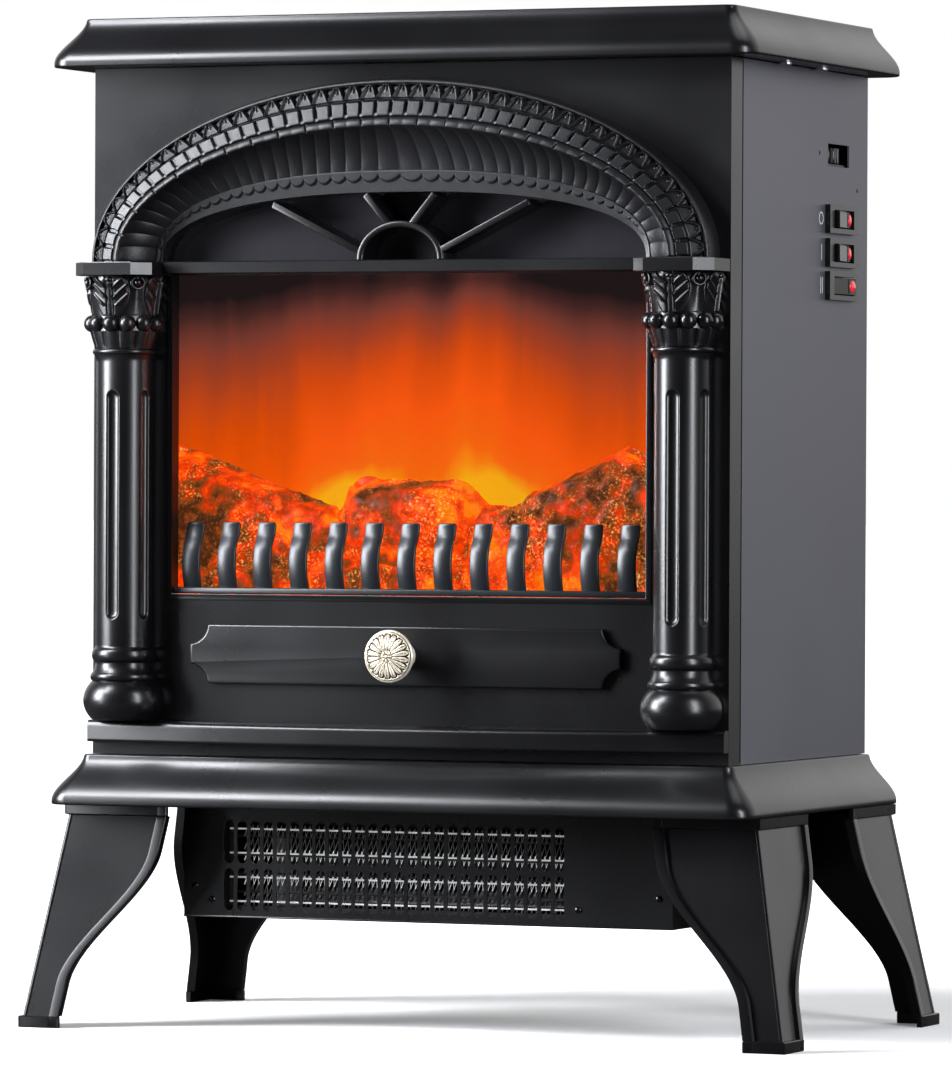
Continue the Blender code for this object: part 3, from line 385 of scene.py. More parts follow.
def lens_material():
    """Red translucent plastic of the switches' lamps."""
    finish = Finish("red_lens")
    cells = finish.noise(900.0, 2.0)
    colour = finish.ramp(cells, (0.35, (0.42, 0.012, 0.02)), (0.65, (0.85, 0.05, 0.06)))
    return finish.fed({"Base Color": colour, "Emission Color": colour, "Emission Strength": 0.35,
                       "Roughness": finish.spread(cells, 0.08, 0.2), "Coat Weight": 0.6,
                       "Normal": finish.bump(cells, 0.3, 0.0003)})


# name, dark and light colour, roughness, grain scale, bump, metallic
BLACK = coated("satin_black_plastic", (0.0022, 0.0022, 0.0028), (0.0038, 0.0038, 0.0046), 0.28, 1500, 0.10)
LEG_PLASTIC = coated("grained_black_plastic", (0.0018, 0.0018, 0.0024), (0.0034, 0.0034, 0.0042), 0.27, 900,
                     0.12, specular=0.36)
CAST = coated("cast_black_plastic", (0.0040, 0.0040, 0.0050), (0.0075, 0.0075, 0.0090), 0.40, 1100, 0.75,
              specular=0.42)
PAINT = coated("satin_black_paint", (0.0018, 0.0018, 0.0023), (0.0032, 0.0032, 0.0039), 0.21, 2200, 0.10)
GREY = coated("charcoal_powder_coat", (0.064, 0.064, 0.080), (0.080, 0.080, 0.098), 0.40, 2600, 0.25)
GUNMETAL = coated("gunmetal_paint", (0.008, 0.010, 0.012), (0.014, 0.017, 0.021), 0.36, 1800, 0.12, 0.2)
SMOKED = coated("smoked_glass", (0.020, 0.019, 0.023), (0.030, 0.028, 0.033), 0.12, 300, 0.02, specular=0.9)
MICA = coated("dark_mica_board", (0.012, 0.011, 0.009), (0.030, 0.027, 0.022), 0.7, 600, 0.3)
NYLON = coated("white_nylon", (0.66, 0.66, 0.62), (0.78, 0.78, 0.75), 0.5, 900, 0.1)
BOARD = coated("green_board", (0.02, 0.16, 0.06), (0.035, 0.22, 0.09), 0.45, 700, 0.1)
BAKELITE = coated("dark_bakelite", (0.012, 0.008, 0.006), (0.022, 0.014, 0.011), 0.42, 900, 0.1)
# Near black with no gloss: painted shadow, laid as thin sheets along the fascia's joints.
PAINTED_SHADOW = coated("black_sheet_painted_shadow", (0.001, 0.001, 0.001), (0.002, 0.002, 0.002), 0.9, 900, 0.05, specular=0.0)
INK = coated("white_ink", (0.62, 0.62, 0.64), (0.78, 0.78, 0.80), 0.6, 1200, 0.05)
# name, dark and light colour, roughness, stretch of the lines
STEEL = brushed("plated_steel", (0.42, 0.42, 0.44), (0.62, 0.62, 0.63), 0.34, (1, 8, 8))
# Two copies of the heating element's wire: this pale one has a strong painted glow and paints light on the
# rows that catch it; the darker one below paints shade on the other rows, with a faint painted glow.
GLOW_PAINTED_WIRE = brushed("heater_wire_painted_glow", (0.85, 0.85, 0.86), (0.98, 0.98, 0.97), 0.45, (1, 6, 6), 0.1, lift=0.26)
SHADE_PAINTED_WIRE = brushed("heater_wire_painted_shade", (0.30, 0.30, 0.31), (0.45, 0.45, 0.46), 0.5, (1, 6, 6), 0.1, lift=0.02)
BRASS = brass_material()
CLEAR = clear_glass()
EMBER = ember_material()
FLAME = flame_material()
LENS = lens_material()

# ---- cap and base mouldings

NARROW_PLAN = (0.2145, -0.0075, 0.2395, 0.006)     # half width, front, back, corner radius
FLARED_PLAN = (0.2315, -0.0245, 0.2490, 0.014)


def moulding_ring(flare, z, inset):
    """A rounded rectangle between the narrow plan (0) and the flared plan (1)."""
    half, front, back, radius = (between(a, b, flare) for a, b in zip(NARROW_PLAN, FLARED_PLAN))
    half, front, back = half - inset, front + inset, back - inset
    radius = max(radius - inset, 0.0015)
    ring = []
    for centre, start in (((half - radius, back - radius), 0), ((radius - half, back - radius), 90),
                          ((radius - half, front + radius), 180), ((half - radius, front + radius), 270)):
        ring += arc(centre, radius, start, start + 90, 10)
    return [(x, FRONT + y, z) for x, y in ring]


def moulding(name, top, bottom, underside):
    """The ogee moulding with rounded rims, and the profile of its underside from the rim inwards."""
    rim = 0.0012
    rings = []
    for angle in turns(90, 0, 5):
        rings.append(moulding_ring(0, top - rim + rim * sin(angle), rim - rim * cos(angle)))
    for drop in np.linspace(0.04, 1, 30):
        rings.append(moulding_ring(smooth(drop), between(top, bottom + 2 * rim, drop), 0))
    for angle in turns(0, -90, 5):
        rings.append(moulding_ring(1, bottom + rim + rim * sin(angle), rim - rim * cos(angle)))
    for inset, z in underside:
        rings.append(moulding_ring(1, z, inset))
    add_piece(name + "_shell", skin(name, rings, 50), BLACK, name)


def build_mouldings():
    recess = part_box("cap_plate")[1].z + GAP
    lip = 0.0042
    moulding("top_cap", CAP_TOP, CAP_BOTTOM, ((lip, CAP_BOTTOM), (lip, recess)))
    moulding("base_moulding", BASE_TOP, BASE_BOTTOM, ((lip, BASE_BOTTOM),))


# ---- legs

FOOT_TOP, COLLAR_BOTTOM = 0.0072, 0.1316
FOOT_PROUD, COLLAR_PROUD = 0.0030, 0.0028     # how far each stands out from the leg's field
BORDER_LIFT, BORDER_WIDTH, BORDER_SLOPE = 0.0026, 0.0062, 0.0006
CORNER_BEAD, CORNER_RIDGE = 0.0011, 0.0007
LEG_WALL, LEG_SOFT = 0.0034, 0.0005
LEG_TOP_X, LEG_FRONT_Y, LEG_BACK_Y = 0.2298, 0.0013, 0.2417
KNEE_BOTTOM, KNEE_HEIGHT = 0.027, 0.083
ANKLE_ARMS, FRONT_ARMS, REAR_ARMS = (0.0242, 0.0305), (0.0665, 0.0800), (0.0665, 0.0745)


def leg_edge(reach, lift, ridge):
    """One arm's outline from the corner to its end: a thin corner bead, the field and the raised border."""
    soft, border = LEG_SOFT, reach - BORDER_WIDTH
    return [(0.0003, 0.0001 - ridge), (CORNER_BEAD - soft, -ridge), (CORNER_BEAD, 0.2 * soft - ridge),
            (CORNER_BEAD + 0.8 * soft, 0.0), (border - BORDER_SLOPE - 0.0002, 0.0),
            (border - BORDER_SLOPE / 2, -lift * 0.5), (border, -lift + 0.2 * soft),
            (border + soft, -lift), (reach - soft, -lift), (reach, soft - lift)]


def leg_section(across, along, lift):
    """The leg's L section, its two arms meeting at the outer corner."""
    ridge = min(lift, CORNER_RIDGE)
    near = leg_edge(across, lift, ridge)
    far = [(v, u) for u, v in leg_edge(along, lift, ridge)]
    inner = [(across, LEG_WALL), (LEG_WALL, LEG_WALL), (LEG_WALL, along)]
    return [(0.0001 - ridge, 0.0001 - ridge)] + near + inner + far[::-1]


def build_leg(name, side, inward):
    """A splayed corner leg. side is the sign of X, inward the sign of Y towards the stove's middle."""
    low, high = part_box(name)
    top_x = LEG_TOP_X - COLLAR_PROUD
    foot_x = max(abs(low.x), abs(high.x)) - FOOT_PROUD
    if inward > 0:
        top_y, foot_y, arms_top = FRONT + (LEG_FRONT_Y + COLLAR_PROUD), low.y + FOOT_PROUD, FRONT_ARMS
    else:
        top_y, foot_y, arms_top = FRONT + (LEG_BACK_Y - COLLAR_PROUD), high.y - FOOT_PROUD, REAR_ARMS
    edge, soft = 0.0006, LEG_SOFT
    levels = [(0.0, "foot", 0.0004), (edge, "foot", 0), (FOOT_TOP - edge, "foot", 0),
              (FOOT_TOP, "foot", edge), (FOOT_TOP + 0.0001, "panel", 0)]
    levels += [(z, "panel", 0) for z in np.linspace(FOOT_TOP + 0.001, COLLAR_BOTTOM - soft, 60)]
    levels += [(COLLAR_BOTTOM, "collar", 0.0004), (COLLAR_BOTTOM + soft, "collar", 0), (high.z, "collar", 0)]
    rings = []
    for z, kind, shrink in levels:
        rise = (min(max(z, FOOT_TOP), COLLAR_BOTTOM) - FOOT_TOP) / (COLLAR_BOTTOM - FOOT_TOP)
        out = {"foot": FOOT_PROUD, "panel": 0.0, "collar": COLLAR_PROUD}[kind] - shrink
        x = between(foot_x, top_x, rise) + out
        y = between(foot_y, top_y, rise) - inward * out
        wide = smooth((z - KNEE_BOTTOM) / KNEE_HEIGHT)
        arms = [between(ankle, top, wide) + out - shrink for ankle, top in zip(ANKLE_ARMS, arms_top)]
        lift = BORDER_LIFT if kind == "panel" else 0.0
        rings.append([(side * (x - u), y + inward * v, z) for u, v in leg_section(*arms, lift)])
    add_piece(name + "_shell", skin(name, rings, 32), LEG_PLASTIC, name)


def build_legs():
    for side, word in ((-1, "left"), (1, "right")):
        build_leg("front_" + word + "_leg", side, 1)
        build_leg("rear_" + word + "_leg", side, -1)


# ---- arch

ARCH_ROWS = 1150
THROAT_POWER = 2.4
LEAVES, DENTILS, SEGMENTS, FLUTES = 44, 46, 24, 44
OUTER = (0.2033, 0.1095)
CREST = (0.1805, 0.0804, 0.0284)
COVE_END = (0.1627, 0.0547, 0.0107)
THROAT = (0.1595, 0.0415, 0.0095)


def phase(share, count):
    return (share * count) % 1.0


def leaf_relief(share, across):
    """A row of round-headed leaves with raised rims and deep pockets between their heads; in millimetres."""
    pitch, width, head = 10.5, 8.6, 0.4
    x = np.abs(phase(share, LEAVES) - 0.5) * pitch
    y = across * width
    rise = max(y - head, 0.02) / (width - head)
    rim_x = (pitch / 2 - 0.4) * sqrt(rise)
    steep = hypot(1, (pitch / 2) / (2 * sqrt(rise) * (width - head)))
    away = (x - rim_x) / steep
    rim = 2.1 * np.exp(-(away / 0.62) ** 2) * smooth((y + 0.3) / 0.8)
    leaf = -1.4 * smooth((-away - 0.5) / 0.5)
    midrib = 0.8 * np.exp(-(x / 0.70) ** 2) * smooth((width * 0.60 - y) / 1.5)
    pocket = -1.5 * smooth((away - 0.6) / 0.5) * smooth((width - 0.3 - y) / 0.8)
    return np.maximum(rim + leaf, midrib) + pocket


def dentil_relief(share, across):
    """Upright blocks with deep slots between them, the slots shallower towards the inner edge."""
    off = np.abs(phase(share, DENTILS) - 0.5)
    block = smooth((0.39 - off) / 0.06 + 0.5) * smooth(across / 0.07) * smooth((1 - across) / 0.07)
    slot = -1.4 + 2.3 * smooth((across - 0.70) / 0.10)
    return slot + (1.4 - slot) * block * (0.95 + 0.05 * dome(off / 0.5))


def reel_relief(share, across):
    """Rounded bars with two soft swells each, notched apart."""
    part = phase(share, SEGMENTS)
    beads = np.abs(np.sin(2 * pi * part)) ** 0.7
    notch = smooth((0.478 - np.abs(part - 0.5)) / 0.016)
    return (1.5 + 0.3 * beads) * dome(2 * across - 1) * notch


def arch_columns():
    """The arch's section: (half, rise, out, power, relief name, place across that band)."""
    columns = []
    for out in (GAP, 0.008, 0.0160, 0.0172):
        columns.append((*OUTER, out, 2.0, "none", 0))
    bands = ((0.0, 0.10, "roll", 12), (0.105, 0.395, "leaf", 26), (0.40, 0.445, "groove", 4),
             (0.45, 0.785, "dentil", 22), (0.79, 0.80, "groove", 2), (0.805, 1.0, "reel", 16))
    for start, end, kind, count in bands:
        for across in np.linspace(0, 1, count):
            place = between(start, end, across)
            out = np.interp(place, (0, 0.10, 0.39, 0.455, 0.79, 1),
                            (0.0172, 0.0185, 0.0222, 0.0236, 0.0262, CREST[2]))
            half, rise = between(OUTER[0], CREST[0], place), between(OUTER[1], CREST[1], place)
            columns.append((half, rise, out, 2.0, kind, across))
    hollow = 0.5                        # how far the cove's section bends from straight to a quarter circle
    for turn in np.linspace(0.02, 1, 34):
        angle = radians(90 * turn)
        near = between(turn, 1 - cos(angle), hollow)
        deep = between(turn, sin(angle), hollow)
        columns.append((between(CREST[0], COVE_END[0], near), between(CREST[1], COVE_END[1], near),
                        between(CREST[2], COVE_END[2], deep), between(2.0, THROAT_POWER, turn), "cove", turn))
    for across in np.linspace(0.03, 1, 20):
        columns.append((between(COVE_END[0], THROAT[0], across), between(COVE_END[1], THROAT[1], across),
                        between(COVE_END[2], THROAT[2], across), THROAT_POWER, "scallop", across))
    for out in (0.0090, 0.0080, 0.004, GAP):
        columns.append((THROAT[0], THROAT[1], out, THROAT_POWER, "none", 0))
    return columns


def build_arch():
    sweep = np.linspace(0, pi, 4001)
    middle = np.stack([0.190 * np.cos(sweep), 0.094 * np.sin(sweep)], axis=1)
    steps = np.hypot(*np.diff(middle, axis=0).T)
    length = np.concatenate([[0], np.cumsum(steps)])
    share = np.linspace(0, 1, ARCH_ROWS)
    angle = np.interp(share * length[-1], length, sweep)
    grid = []
    for half, rise, out, power, kind, across in arch_columns():
        lift = np.zeros_like(share)
        inward = 0.0
        forward = 1.0
        if kind == "roll":
            lift += 1.3 * dome(2 * across - 1)
        elif kind == "groove":
            lift -= 0.9
        elif kind == "leaf":
            lift = leaf_relief(share, across)
        elif kind == "dentil":
            lift = dentil_relief(share, across)
        elif kind == "reel":
            lift = reel_relief(share, across)
        elif kind == "cove":
            fade = smooth(across / 0.12) * dome(max(across - 0.86, 0) / 0.16)
            lift = 0.85 * (np.sqrt(np.abs(np.sin(pi * phase(share, FLUTES)))) - 0.5) * fade
            inward = cos(radians(90 * across))
            forward = sin(radians(90 * across))
        elif kind == "scallop":
            hem = 0.26 + 0.26 * np.abs(np.sin(pi * phase(share, FLUTES))) ** 0.7
            lift = smooth((hem - across) / 0.08 + 0.5)
            lift = lift - 0.5 * smooth((0.10 - np.abs(hem - across)) / 0.08) * (hem < 0.32)
        lift = lift / 1000
        across_cos, up = np.cos(angle), np.sin(angle)
        x = (half - inward * lift) * np.sign(across_cos) * np.abs(across_cos) ** (2 / power)
        z = SPRING_Z + (rise - inward * lift) * np.clip(up, 0, 1) ** (2 / power)
        y = FRONT - out - forward * lift
        grid.append(np.stack([x, np.minimum(y, FRONT - GAP), z], axis=1))
    grid = np.stack(grid, axis=1)
    add_piece("arch_relief", skin("arch_relief", grid, 75), CAST, "arch_moulding")


def rod_bar(name, start, end, width, front, back):
    """A straight bar with rounded edges between two points in the XZ plane."""
    start, end = Vector(start), Vector(end)
    run = end - start
    bm = bmesh.new()
    bmesh.ops.create_cube(bm, size=1.0)
    bmesh.ops.scale(bm, vec=(run.length, back - front, width), verts=bm.verts)
    bmesh.ops.bevel(bm, geom=bm.edges, offset=0.0009, segments=3, profile=0.5, affect="EDGES")
    turn = Matrix.Rotation(-atan2(run.y, run.x), 4, "Y")
    middle = (start + end) / 2
    move = Matrix.Translation((middle.x, (front + back) / 2, middle.y))
    bmesh.ops.transform(bm, matrix=move @ turn, verts=bm.verts)
    return tidy_mesh(bm, name)


def build_fanlight():
    """The half-round hub with its raised inner ring, and four rays."""
    low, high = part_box("fanlight_grille")
    front, back, sill = low.y, high.y, low.z
    half, rise, soft, ray_width = 0.0288, 0.0236, 0.0004, 0.0044
    hub = []
    for angle in turns(0, 180, 41):
        ring = []
        for inset, y in ((0.0, back), (0.0, front + 0.0016), (0.0006, front + 0.0004), (0.0014, front),
                         (0.0032, front), (0.0040, front + 0.0004), (0.0046, front + 0.0016), (0.0046, back)):
            ring.append(((half - inset) * cos(angle), y, sill + (rise - inset) * sin(angle)))
        hub.append(ring)
    meshes = [skin("hub", hub)]
    for side in (-1, 1):
        for start, end in (((0.0245, 0.4766), (0.0845, 0.5063)), ((0.0072, 0.4930), (0.0230, 0.5119))):
            meshes.append(rod_bar("ray", (side * start[0], start[1]), (side * end[0], end[1]), ray_width,
                                  front + soft, back - soft))
    add_piece("fanlight_rays", joined("fanlight_rays", meshes), BLACK, "fanlight_grille")


# ---- columns

COLUMN_X = 0.184
COLUMN_Y = FRONT - 0.0108
CUT_Y = FRONT - GAP
SHAFT = 0.0172
FLUTE_LOW, FLUTE_HIGH, FLUTE_HALF, FLUTE_DEPTH = 0.2574, 0.3886, 0.0043, 0.0026
CUP_TOP, BELL_BOTTOM, BELL_TOP = 0.4295, 0.4388, 0.4630
BEADS = 12
MOST_REACH = 0.0255                           # just inside the slab above the capital


def relief_of_turning(name, centre_x, heights, radii, relief, count):
    """Rings of the given heights and radii with relief(angle, height) added, cut flat at the fascia."""
    angles = np.linspace(-pi, pi, count, endpoint=False)
    rings = []
    for z, radius in zip(heights, radii):
        reach = np.minimum(radius + relief(angles, z), MOST_REACH)
        x = centre_x + reach * np.sin(angles)
        y = np.minimum(COLUMN_Y - reach * np.cos(angles), CUT_Y)
        rings.append(np.stack([x, y, np.full_like(x, z)], axis=1))
    return skin(name, rings, 70)


def half_round(heights, low, high, root, crest):
    """Radii of a bead between two heights."""
    middle, half = (low + high) / 2, (high - low) / 2
    return root + (crest - root) * dome((heights - middle) / half)


def flute_relief(angles, z):
    """Round-ended flutes sunk into the shaft."""
    lift = np.zeros_like(angles)
    for centre in (-144, -72, 0, 72, 144):
        sideways = ((angles - radians(centre) + pi) % (2 * pi) - pi) * SHAFT
        beyond = max(FLUTE_LOW - z, z - FLUTE_HIGH, 0)
        away = np.hypot(sideways, beyond) / FLUTE_HALF
        lift -= FLUTE_DEPTH * dome(away) * smooth((1 - away) / 0.12)
    return lift


def column_profile():
    """Heights and radii from the ring under the capital down to the ball foot."""
    ball_radius, ball_z, ball_half = 0.0247, 0.2030, 0.0190
    spans = ((0.4184, 0.4154, 8), (0.4152, 0.4108, 8), (0.4100, 0.2360, 240), (0.2348, 0.2270, 14),
             (0.2266, 0.2202, 9), (0.2198, 0.2150, 10))
    ring, throat, plain, collar, neck, torus = (np.linspace(*span) for span in spans)
    foot = ball_z - ball_radius * np.sin(turns(-30, 29.6, 26))
    radii = (half_round(ring, 0.4152, 0.4186, 0.0182, 0.0197),
             SHAFT + 0.0015 * ((throat - 0.4106) / 0.0048) ** 2,
             np.full_like(plain, SHAFT),
             half_round(collar, 0.2268, 0.2350, SHAFT + 0.0002, 0.0195),
             SHAFT + 0.0019 * ((0.2262 - neck) / 0.006) ** 2,
             half_round(torus, 0.2148, 0.2200, 0.0186, 0.0204),
             ball_radius * np.sqrt(1 - ((foot - ball_z) / ball_half) ** 2))
    return np.concatenate((ring, throat, plain, collar, neck, torus, foot)), np.concatenate(radii)


def capital_relief(angles, z):
    """Four leaves with midribs and slanting lobes, stems between them, then a plain band where the beads sit
    and a ribbed cup.
    """
    if z < CUP_TOP:
        lobes = np.sqrt(np.abs(np.cos(angles * BEADS / 2)))
        return 0.0016 * (lobes - 0.4) * dome((CUP_TOP - z) / 0.0112)
    if z < BELL_BOTTOM:
        return np.zeros_like(angles)
    height = (z - BELL_BOTTOM) / (BELL_TOP - BELL_BOTTOM)
    local = (angles + pi / 4) % (pi / 2) - pi / 4
    x = np.abs(local) * 22.5                      # x and y across and up a leaf, in millimetres
    y = (z - BELL_BOTTOM) * 1000
    edge = 4.5 + 8.2 * sin(pi * min(height * 0.72 + 0.08, 1))
    inside = smooth((edge - x) / 1.2)
    slant = np.abs(((y - 0.95 * x + 1.0) / 6.4) % 1.0 - 0.5) * 6.4
    veins = 1.2 * np.exp(-(slant / 0.85) ** 2) * smooth((x - 1.6) / 0.6) * smooth((y - 5.5) / 2.0)
    midrib = 1.9 * np.exp(-(x / 0.8) ** 2) * smooth(y / 1.5) * smooth((22.0 - y) / 2.0)
    trench = -0.6 * np.exp(-((x - 2.0) / 0.7) ** 2)
    leaf = (0.8 + 0.7 * height) * inside + (veins * inside + midrib + trench * inside)
    stem = 1.1 * np.exp(-((x - 17.6) / 2.6) ** 2) * height
    return (leaf + stem) / 1000


def ball(centre, radius, flatten=(1, 1, 1)):
    bm = bmesh.new()
    bmesh.ops.create_uvsphere(bm, u_segments=20, v_segments=12, radius=radius)
    bmesh.ops.scale(bm, vec=flatten, verts=bm.verts)
    bmesh.ops.translate(bm, vec=centre, verts=bm.verts)
    return tidy_mesh(bm, "ball", 60)


def around(centre_x, angle, radius, z):
    return (centre_x + radius * sin(angle), COLUMN_Y - radius * cos(angle), z)


def build_capital(word, centre_x):
    """The leafy bell with a row of beads below, and scrolls and buds under the slab."""
    heights = np.linspace(0.4629, 0.4186, 150)
    levels = (0.4186, 0.4210, CUP_TOP, BELL_BOTTOM, 0.4395, 0.4480, 0.4560, 0.4605, BELL_TOP)
    radii = np.interp(heights, levels,
                      (0.0178, 0.0182, 0.0204, 0.0196, 0.0198, 0.0206, 0.0216, 0.0228, 0.0222))
    meshes = [relief_of_turning("bell", centre_x, heights, radii, capital_relief, 320)]
    bead, scroll_out = 0.0053, 0.0238
    for index in range(BEADS):
        place = around(centre_x, 2 * pi * index / BEADS, 0.0199, 0.4341)
        if place[1] < CUT_Y - bead:
            meshes.append(ball(place, bead))
    for turn in (radians(-45), radians(45)):
        meshes.append(ball(around(centre_x, turn, scroll_out, 0.4590), 0.0023))
        curl = []
        for sweep in turns(-150, 150, 22):
            swing = turn + 0.0042 * sin(sweep) / 0.0246
            curl.append(around(centre_x, swing, scroll_out, 0.4588 - 0.0036 * cos(sweep)))
        meshes.append(wire_mesh("curl", [curl], 0.0009, 8))
    for turn in (-90, 0, 90):
        meshes.append(ball(around(centre_x, radians(turn), 0.0232, 0.4608), 0.0021, (1.2, 1.2, 0.9)))
    add_piece(word + "_capital_fine", joined("capital", meshes, 65), BLACK, word + "_capital")


def build_columns():
    heights, radii = column_profile()
    for word, centre_x in (("left", -COLUMN_X), ("right", COLUMN_X)):
        shaft = relief_of_turning("shaft", centre_x, heights, radii, flute_relief, 256)
        add_piece(word + "_column_fine", shaft, BLACK, word + "_column")
        build_capital(word, centre_x)


# ---- ledge, drawer and knob

def build_sill_ledge():
    """Bowed ledge: flat front edge with rounded corners under a domed top."""
    low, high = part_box("sill_ledge")
    brow = 0.1866                                 # where the flat front edge turns into the domed top
    rings = []
    for share in np.linspace(-1, 1, 49):
        reach = 0.008 + 0.014 * (1 - share * share)
        section = [(GAP, low.z), (reach - 0.0006, low.z), (reach, low.z + 0.0006)]
        section += [(reach, z) for z in np.linspace(low.z + 0.002, 0.1862, 5)]
        for turn in turns(0, 90, 12):
            out = reach - 0.30 * reach * (1 - cos(turn))
            section.append((out, brow + (high.z - brow) * sin(turn)))
        section += [(0.5 * reach, high.z), (GAP, high.z)]
        rings.append([(share * HALF, FRONT - out, z) for out, z in section])
    add_piece("sill_ledge_fine", skin("sill_ledge", rings, 50), BLACK, "sill_ledge")


def build_drawer_front():
    """The scooped-corner plate, its edges rounded by stacking slightly smaller outlines."""
    low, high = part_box("drawer_front")
    middle = (low.z + high.z) / 2
    edge = 0.0009
    rings = []
    levels = [(0, high.y)] + [(edge * (1 - cos(t)), low.y + edge * (1 - sin(t)))
                              for t in turns(0, 90, 5)]
    for shrink, y in levels:
        tall = (high.z - low.z) / 2 - shrink
        wide = high.x - shrink
        scoop = 0.013 + 0.3 * shrink
        ring = []
        for right, up, start in ((1, 1, 180), (1, -1, 90), (-1, -1, 0), (-1, 1, 270)):
            ring += arc((right * wide, up * tall), scoop, start + 5, start + 85, 14)
        rings.append([(x, y, middle + z) for x, z in ring])
    add_piece("drawer_front_fine", skin("drawer_front", rings, 60), BLACK, "drawer_front")


def build_knob():
    """Brass knob: a neck, a rim, and a domed face of petals round a seeded middle."""
    petals = 18
    low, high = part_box("drawer_knob")
    centre_z = (low.z + high.z) / 2
    angles = np.linspace(0, 2 * pi, 360, endpoint=False)
    radius_scale = (high.z - low.z) / 2 / 0.0160
    profile = [(0.0088, 0.0047), (0.0084, 0.0070), (0.0068, 0.0095), (0.0061, 0.0125), (0.0062, 0.0165),
               (0.0080, 0.0200), (0.0120, 0.0222), (0.0148, 0.0232)]
    profile += [(0.0146 + 0.0014 * cos(t), 0.0246 + 0.0014 * sin(t))
                for t in turns(-40, 90, 9)]
    profile += [(r, 0.0246 + 0.0040 * sqrt(1 - (r / 0.0165) ** 2))
                for r in np.linspace(0.0142, 0.0004, 72)]
    rings = []
    for radius, out in profile:
        lift = np.zeros_like(angles)
        if radius < 0.0143 and out > 0.0240:
            part = np.abs(phase(angles / (2 * pi), petals) - 0.5)
            long = (radius - 0.0082) / 0.0054
            edge = np.hypot(part / 0.46, max(abs(long) - 0.35, 0) / 0.65)
            outline = 0.0012 * np.exp(-((edge - 1.10) / 0.20) ** 2)
            crease = 0.0005 * np.exp(-(part / 0.08) ** 2)
            lift = (0.0011 * dome(edge) - outline - crease) * smooth((0.0141 - radius) / 0.0006)
            seeds = 0.6 + 0.4 * np.cos(angles * 8)
            if radius < 0.0036:
                lift = 0.0013 * seeds * dome((radius - 0.0024) / 0.0012) + 0.0012 * dome(radius / 0.0011)
        reach = radius * radius_scale
        x, z = reach * np.cos(angles), centre_z + reach * np.sin(angles)
        rings.append(np.stack([x, np.maximum(FRONT - out - lift, low.y), z], axis=1))
    add_piece("drawer_knob_fine", skin("drawer_knob", rings, 80), BRASS, "drawer_knob")


# ---- grate and fire

def build_grate():
    """A rail and thirteen bars, bellied forwards, leaning back to rounded heads."""
    low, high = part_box("grate")
    count, half_span, half_wide, thick, soft = 13, 0.1438, 0.0059, 0.0025, 0.0007
    bottom, top, head = 0.2700, high.z, 0.0019
    meshes = [box_mesh("rail", (low.x, FRONT + 0.0008, low.z), (high.x, FRONT + 0.0092, 0.2726), 0.0008)]
    for centre in np.linspace(-half_span, half_span, count):
        rings = []
        for share in np.concatenate([np.linspace(0, 0.92, 26), np.linspace(0.93, 0.999, 9)]):
            z = between(bottom, top, share)
            belly = 0.0036 * sin(pi * min(share / 0.8, 1))
            y = FRONT + 0.0030 - belly + 0.0040 * smooth((share - 0.6) / 0.4)
            into_head = max(z - (top - head), 0)
            half = half_wide - head + sqrt(max(head ** 2 - into_head ** 2, 0))
            left, right, back = centre - half, centre + half, y + thick
            section = ((left + soft, y), (right - soft, y), (right, y + soft), (right, back - soft),
                       (right - soft, back), (left + soft, back), (left, back - soft), (left, y + soft))
            rings.append([(across, deep, z) for across, deep in section])
        meshes.append(skin("bar", rings, 50))
    add_piece("grate_fine", joined("grate", meshes, 50), GUNMETAL, "grate")


# the heap's outline as (x, z), and its rocks as (x, z, half width, half height, depth in millimetres)
HEAP_TOP = ((-0.186, 0.362), (-0.160, 0.356), (-0.120, 0.340), (-0.070, 0.323), (-0.0635, 0.317),
            (-0.060, 0.335), (-0.052, 0.3405), (-0.020, 0.3395), (0.018, 0.3385), (0.026, 0.332),
            (0.034, 0.3235), (0.050, 0.3225), (0.062, 0.330), (0.100, 0.346), (0.126, 0.360),
            (0.134, 0.357), (0.150, 0.341), (0.161, 0.336))
ROCKS = ((-0.140, 0.315, 0.052, 0.046, 24), (-0.082, 0.300, 0.030, 0.026, 21),
         (-0.018, 0.312, 0.044, 0.027, 27), (0.045, 0.298, 0.024, 0.024, 17),
         (0.112, 0.312, 0.056, 0.048, 26), (-0.165, 0.276, 0.026, 0.016, 28),
         (-0.112, 0.274, 0.026, 0.016, 30), (-0.058, 0.276, 0.024, 0.017, 28),
         (-0.002, 0.275, 0.027, 0.016, 30), (0.056, 0.276, 0.026, 0.017, 28),
         (0.108, 0.274, 0.024, 0.016, 30), (0.146, 0.278, 0.018, 0.018, 27))


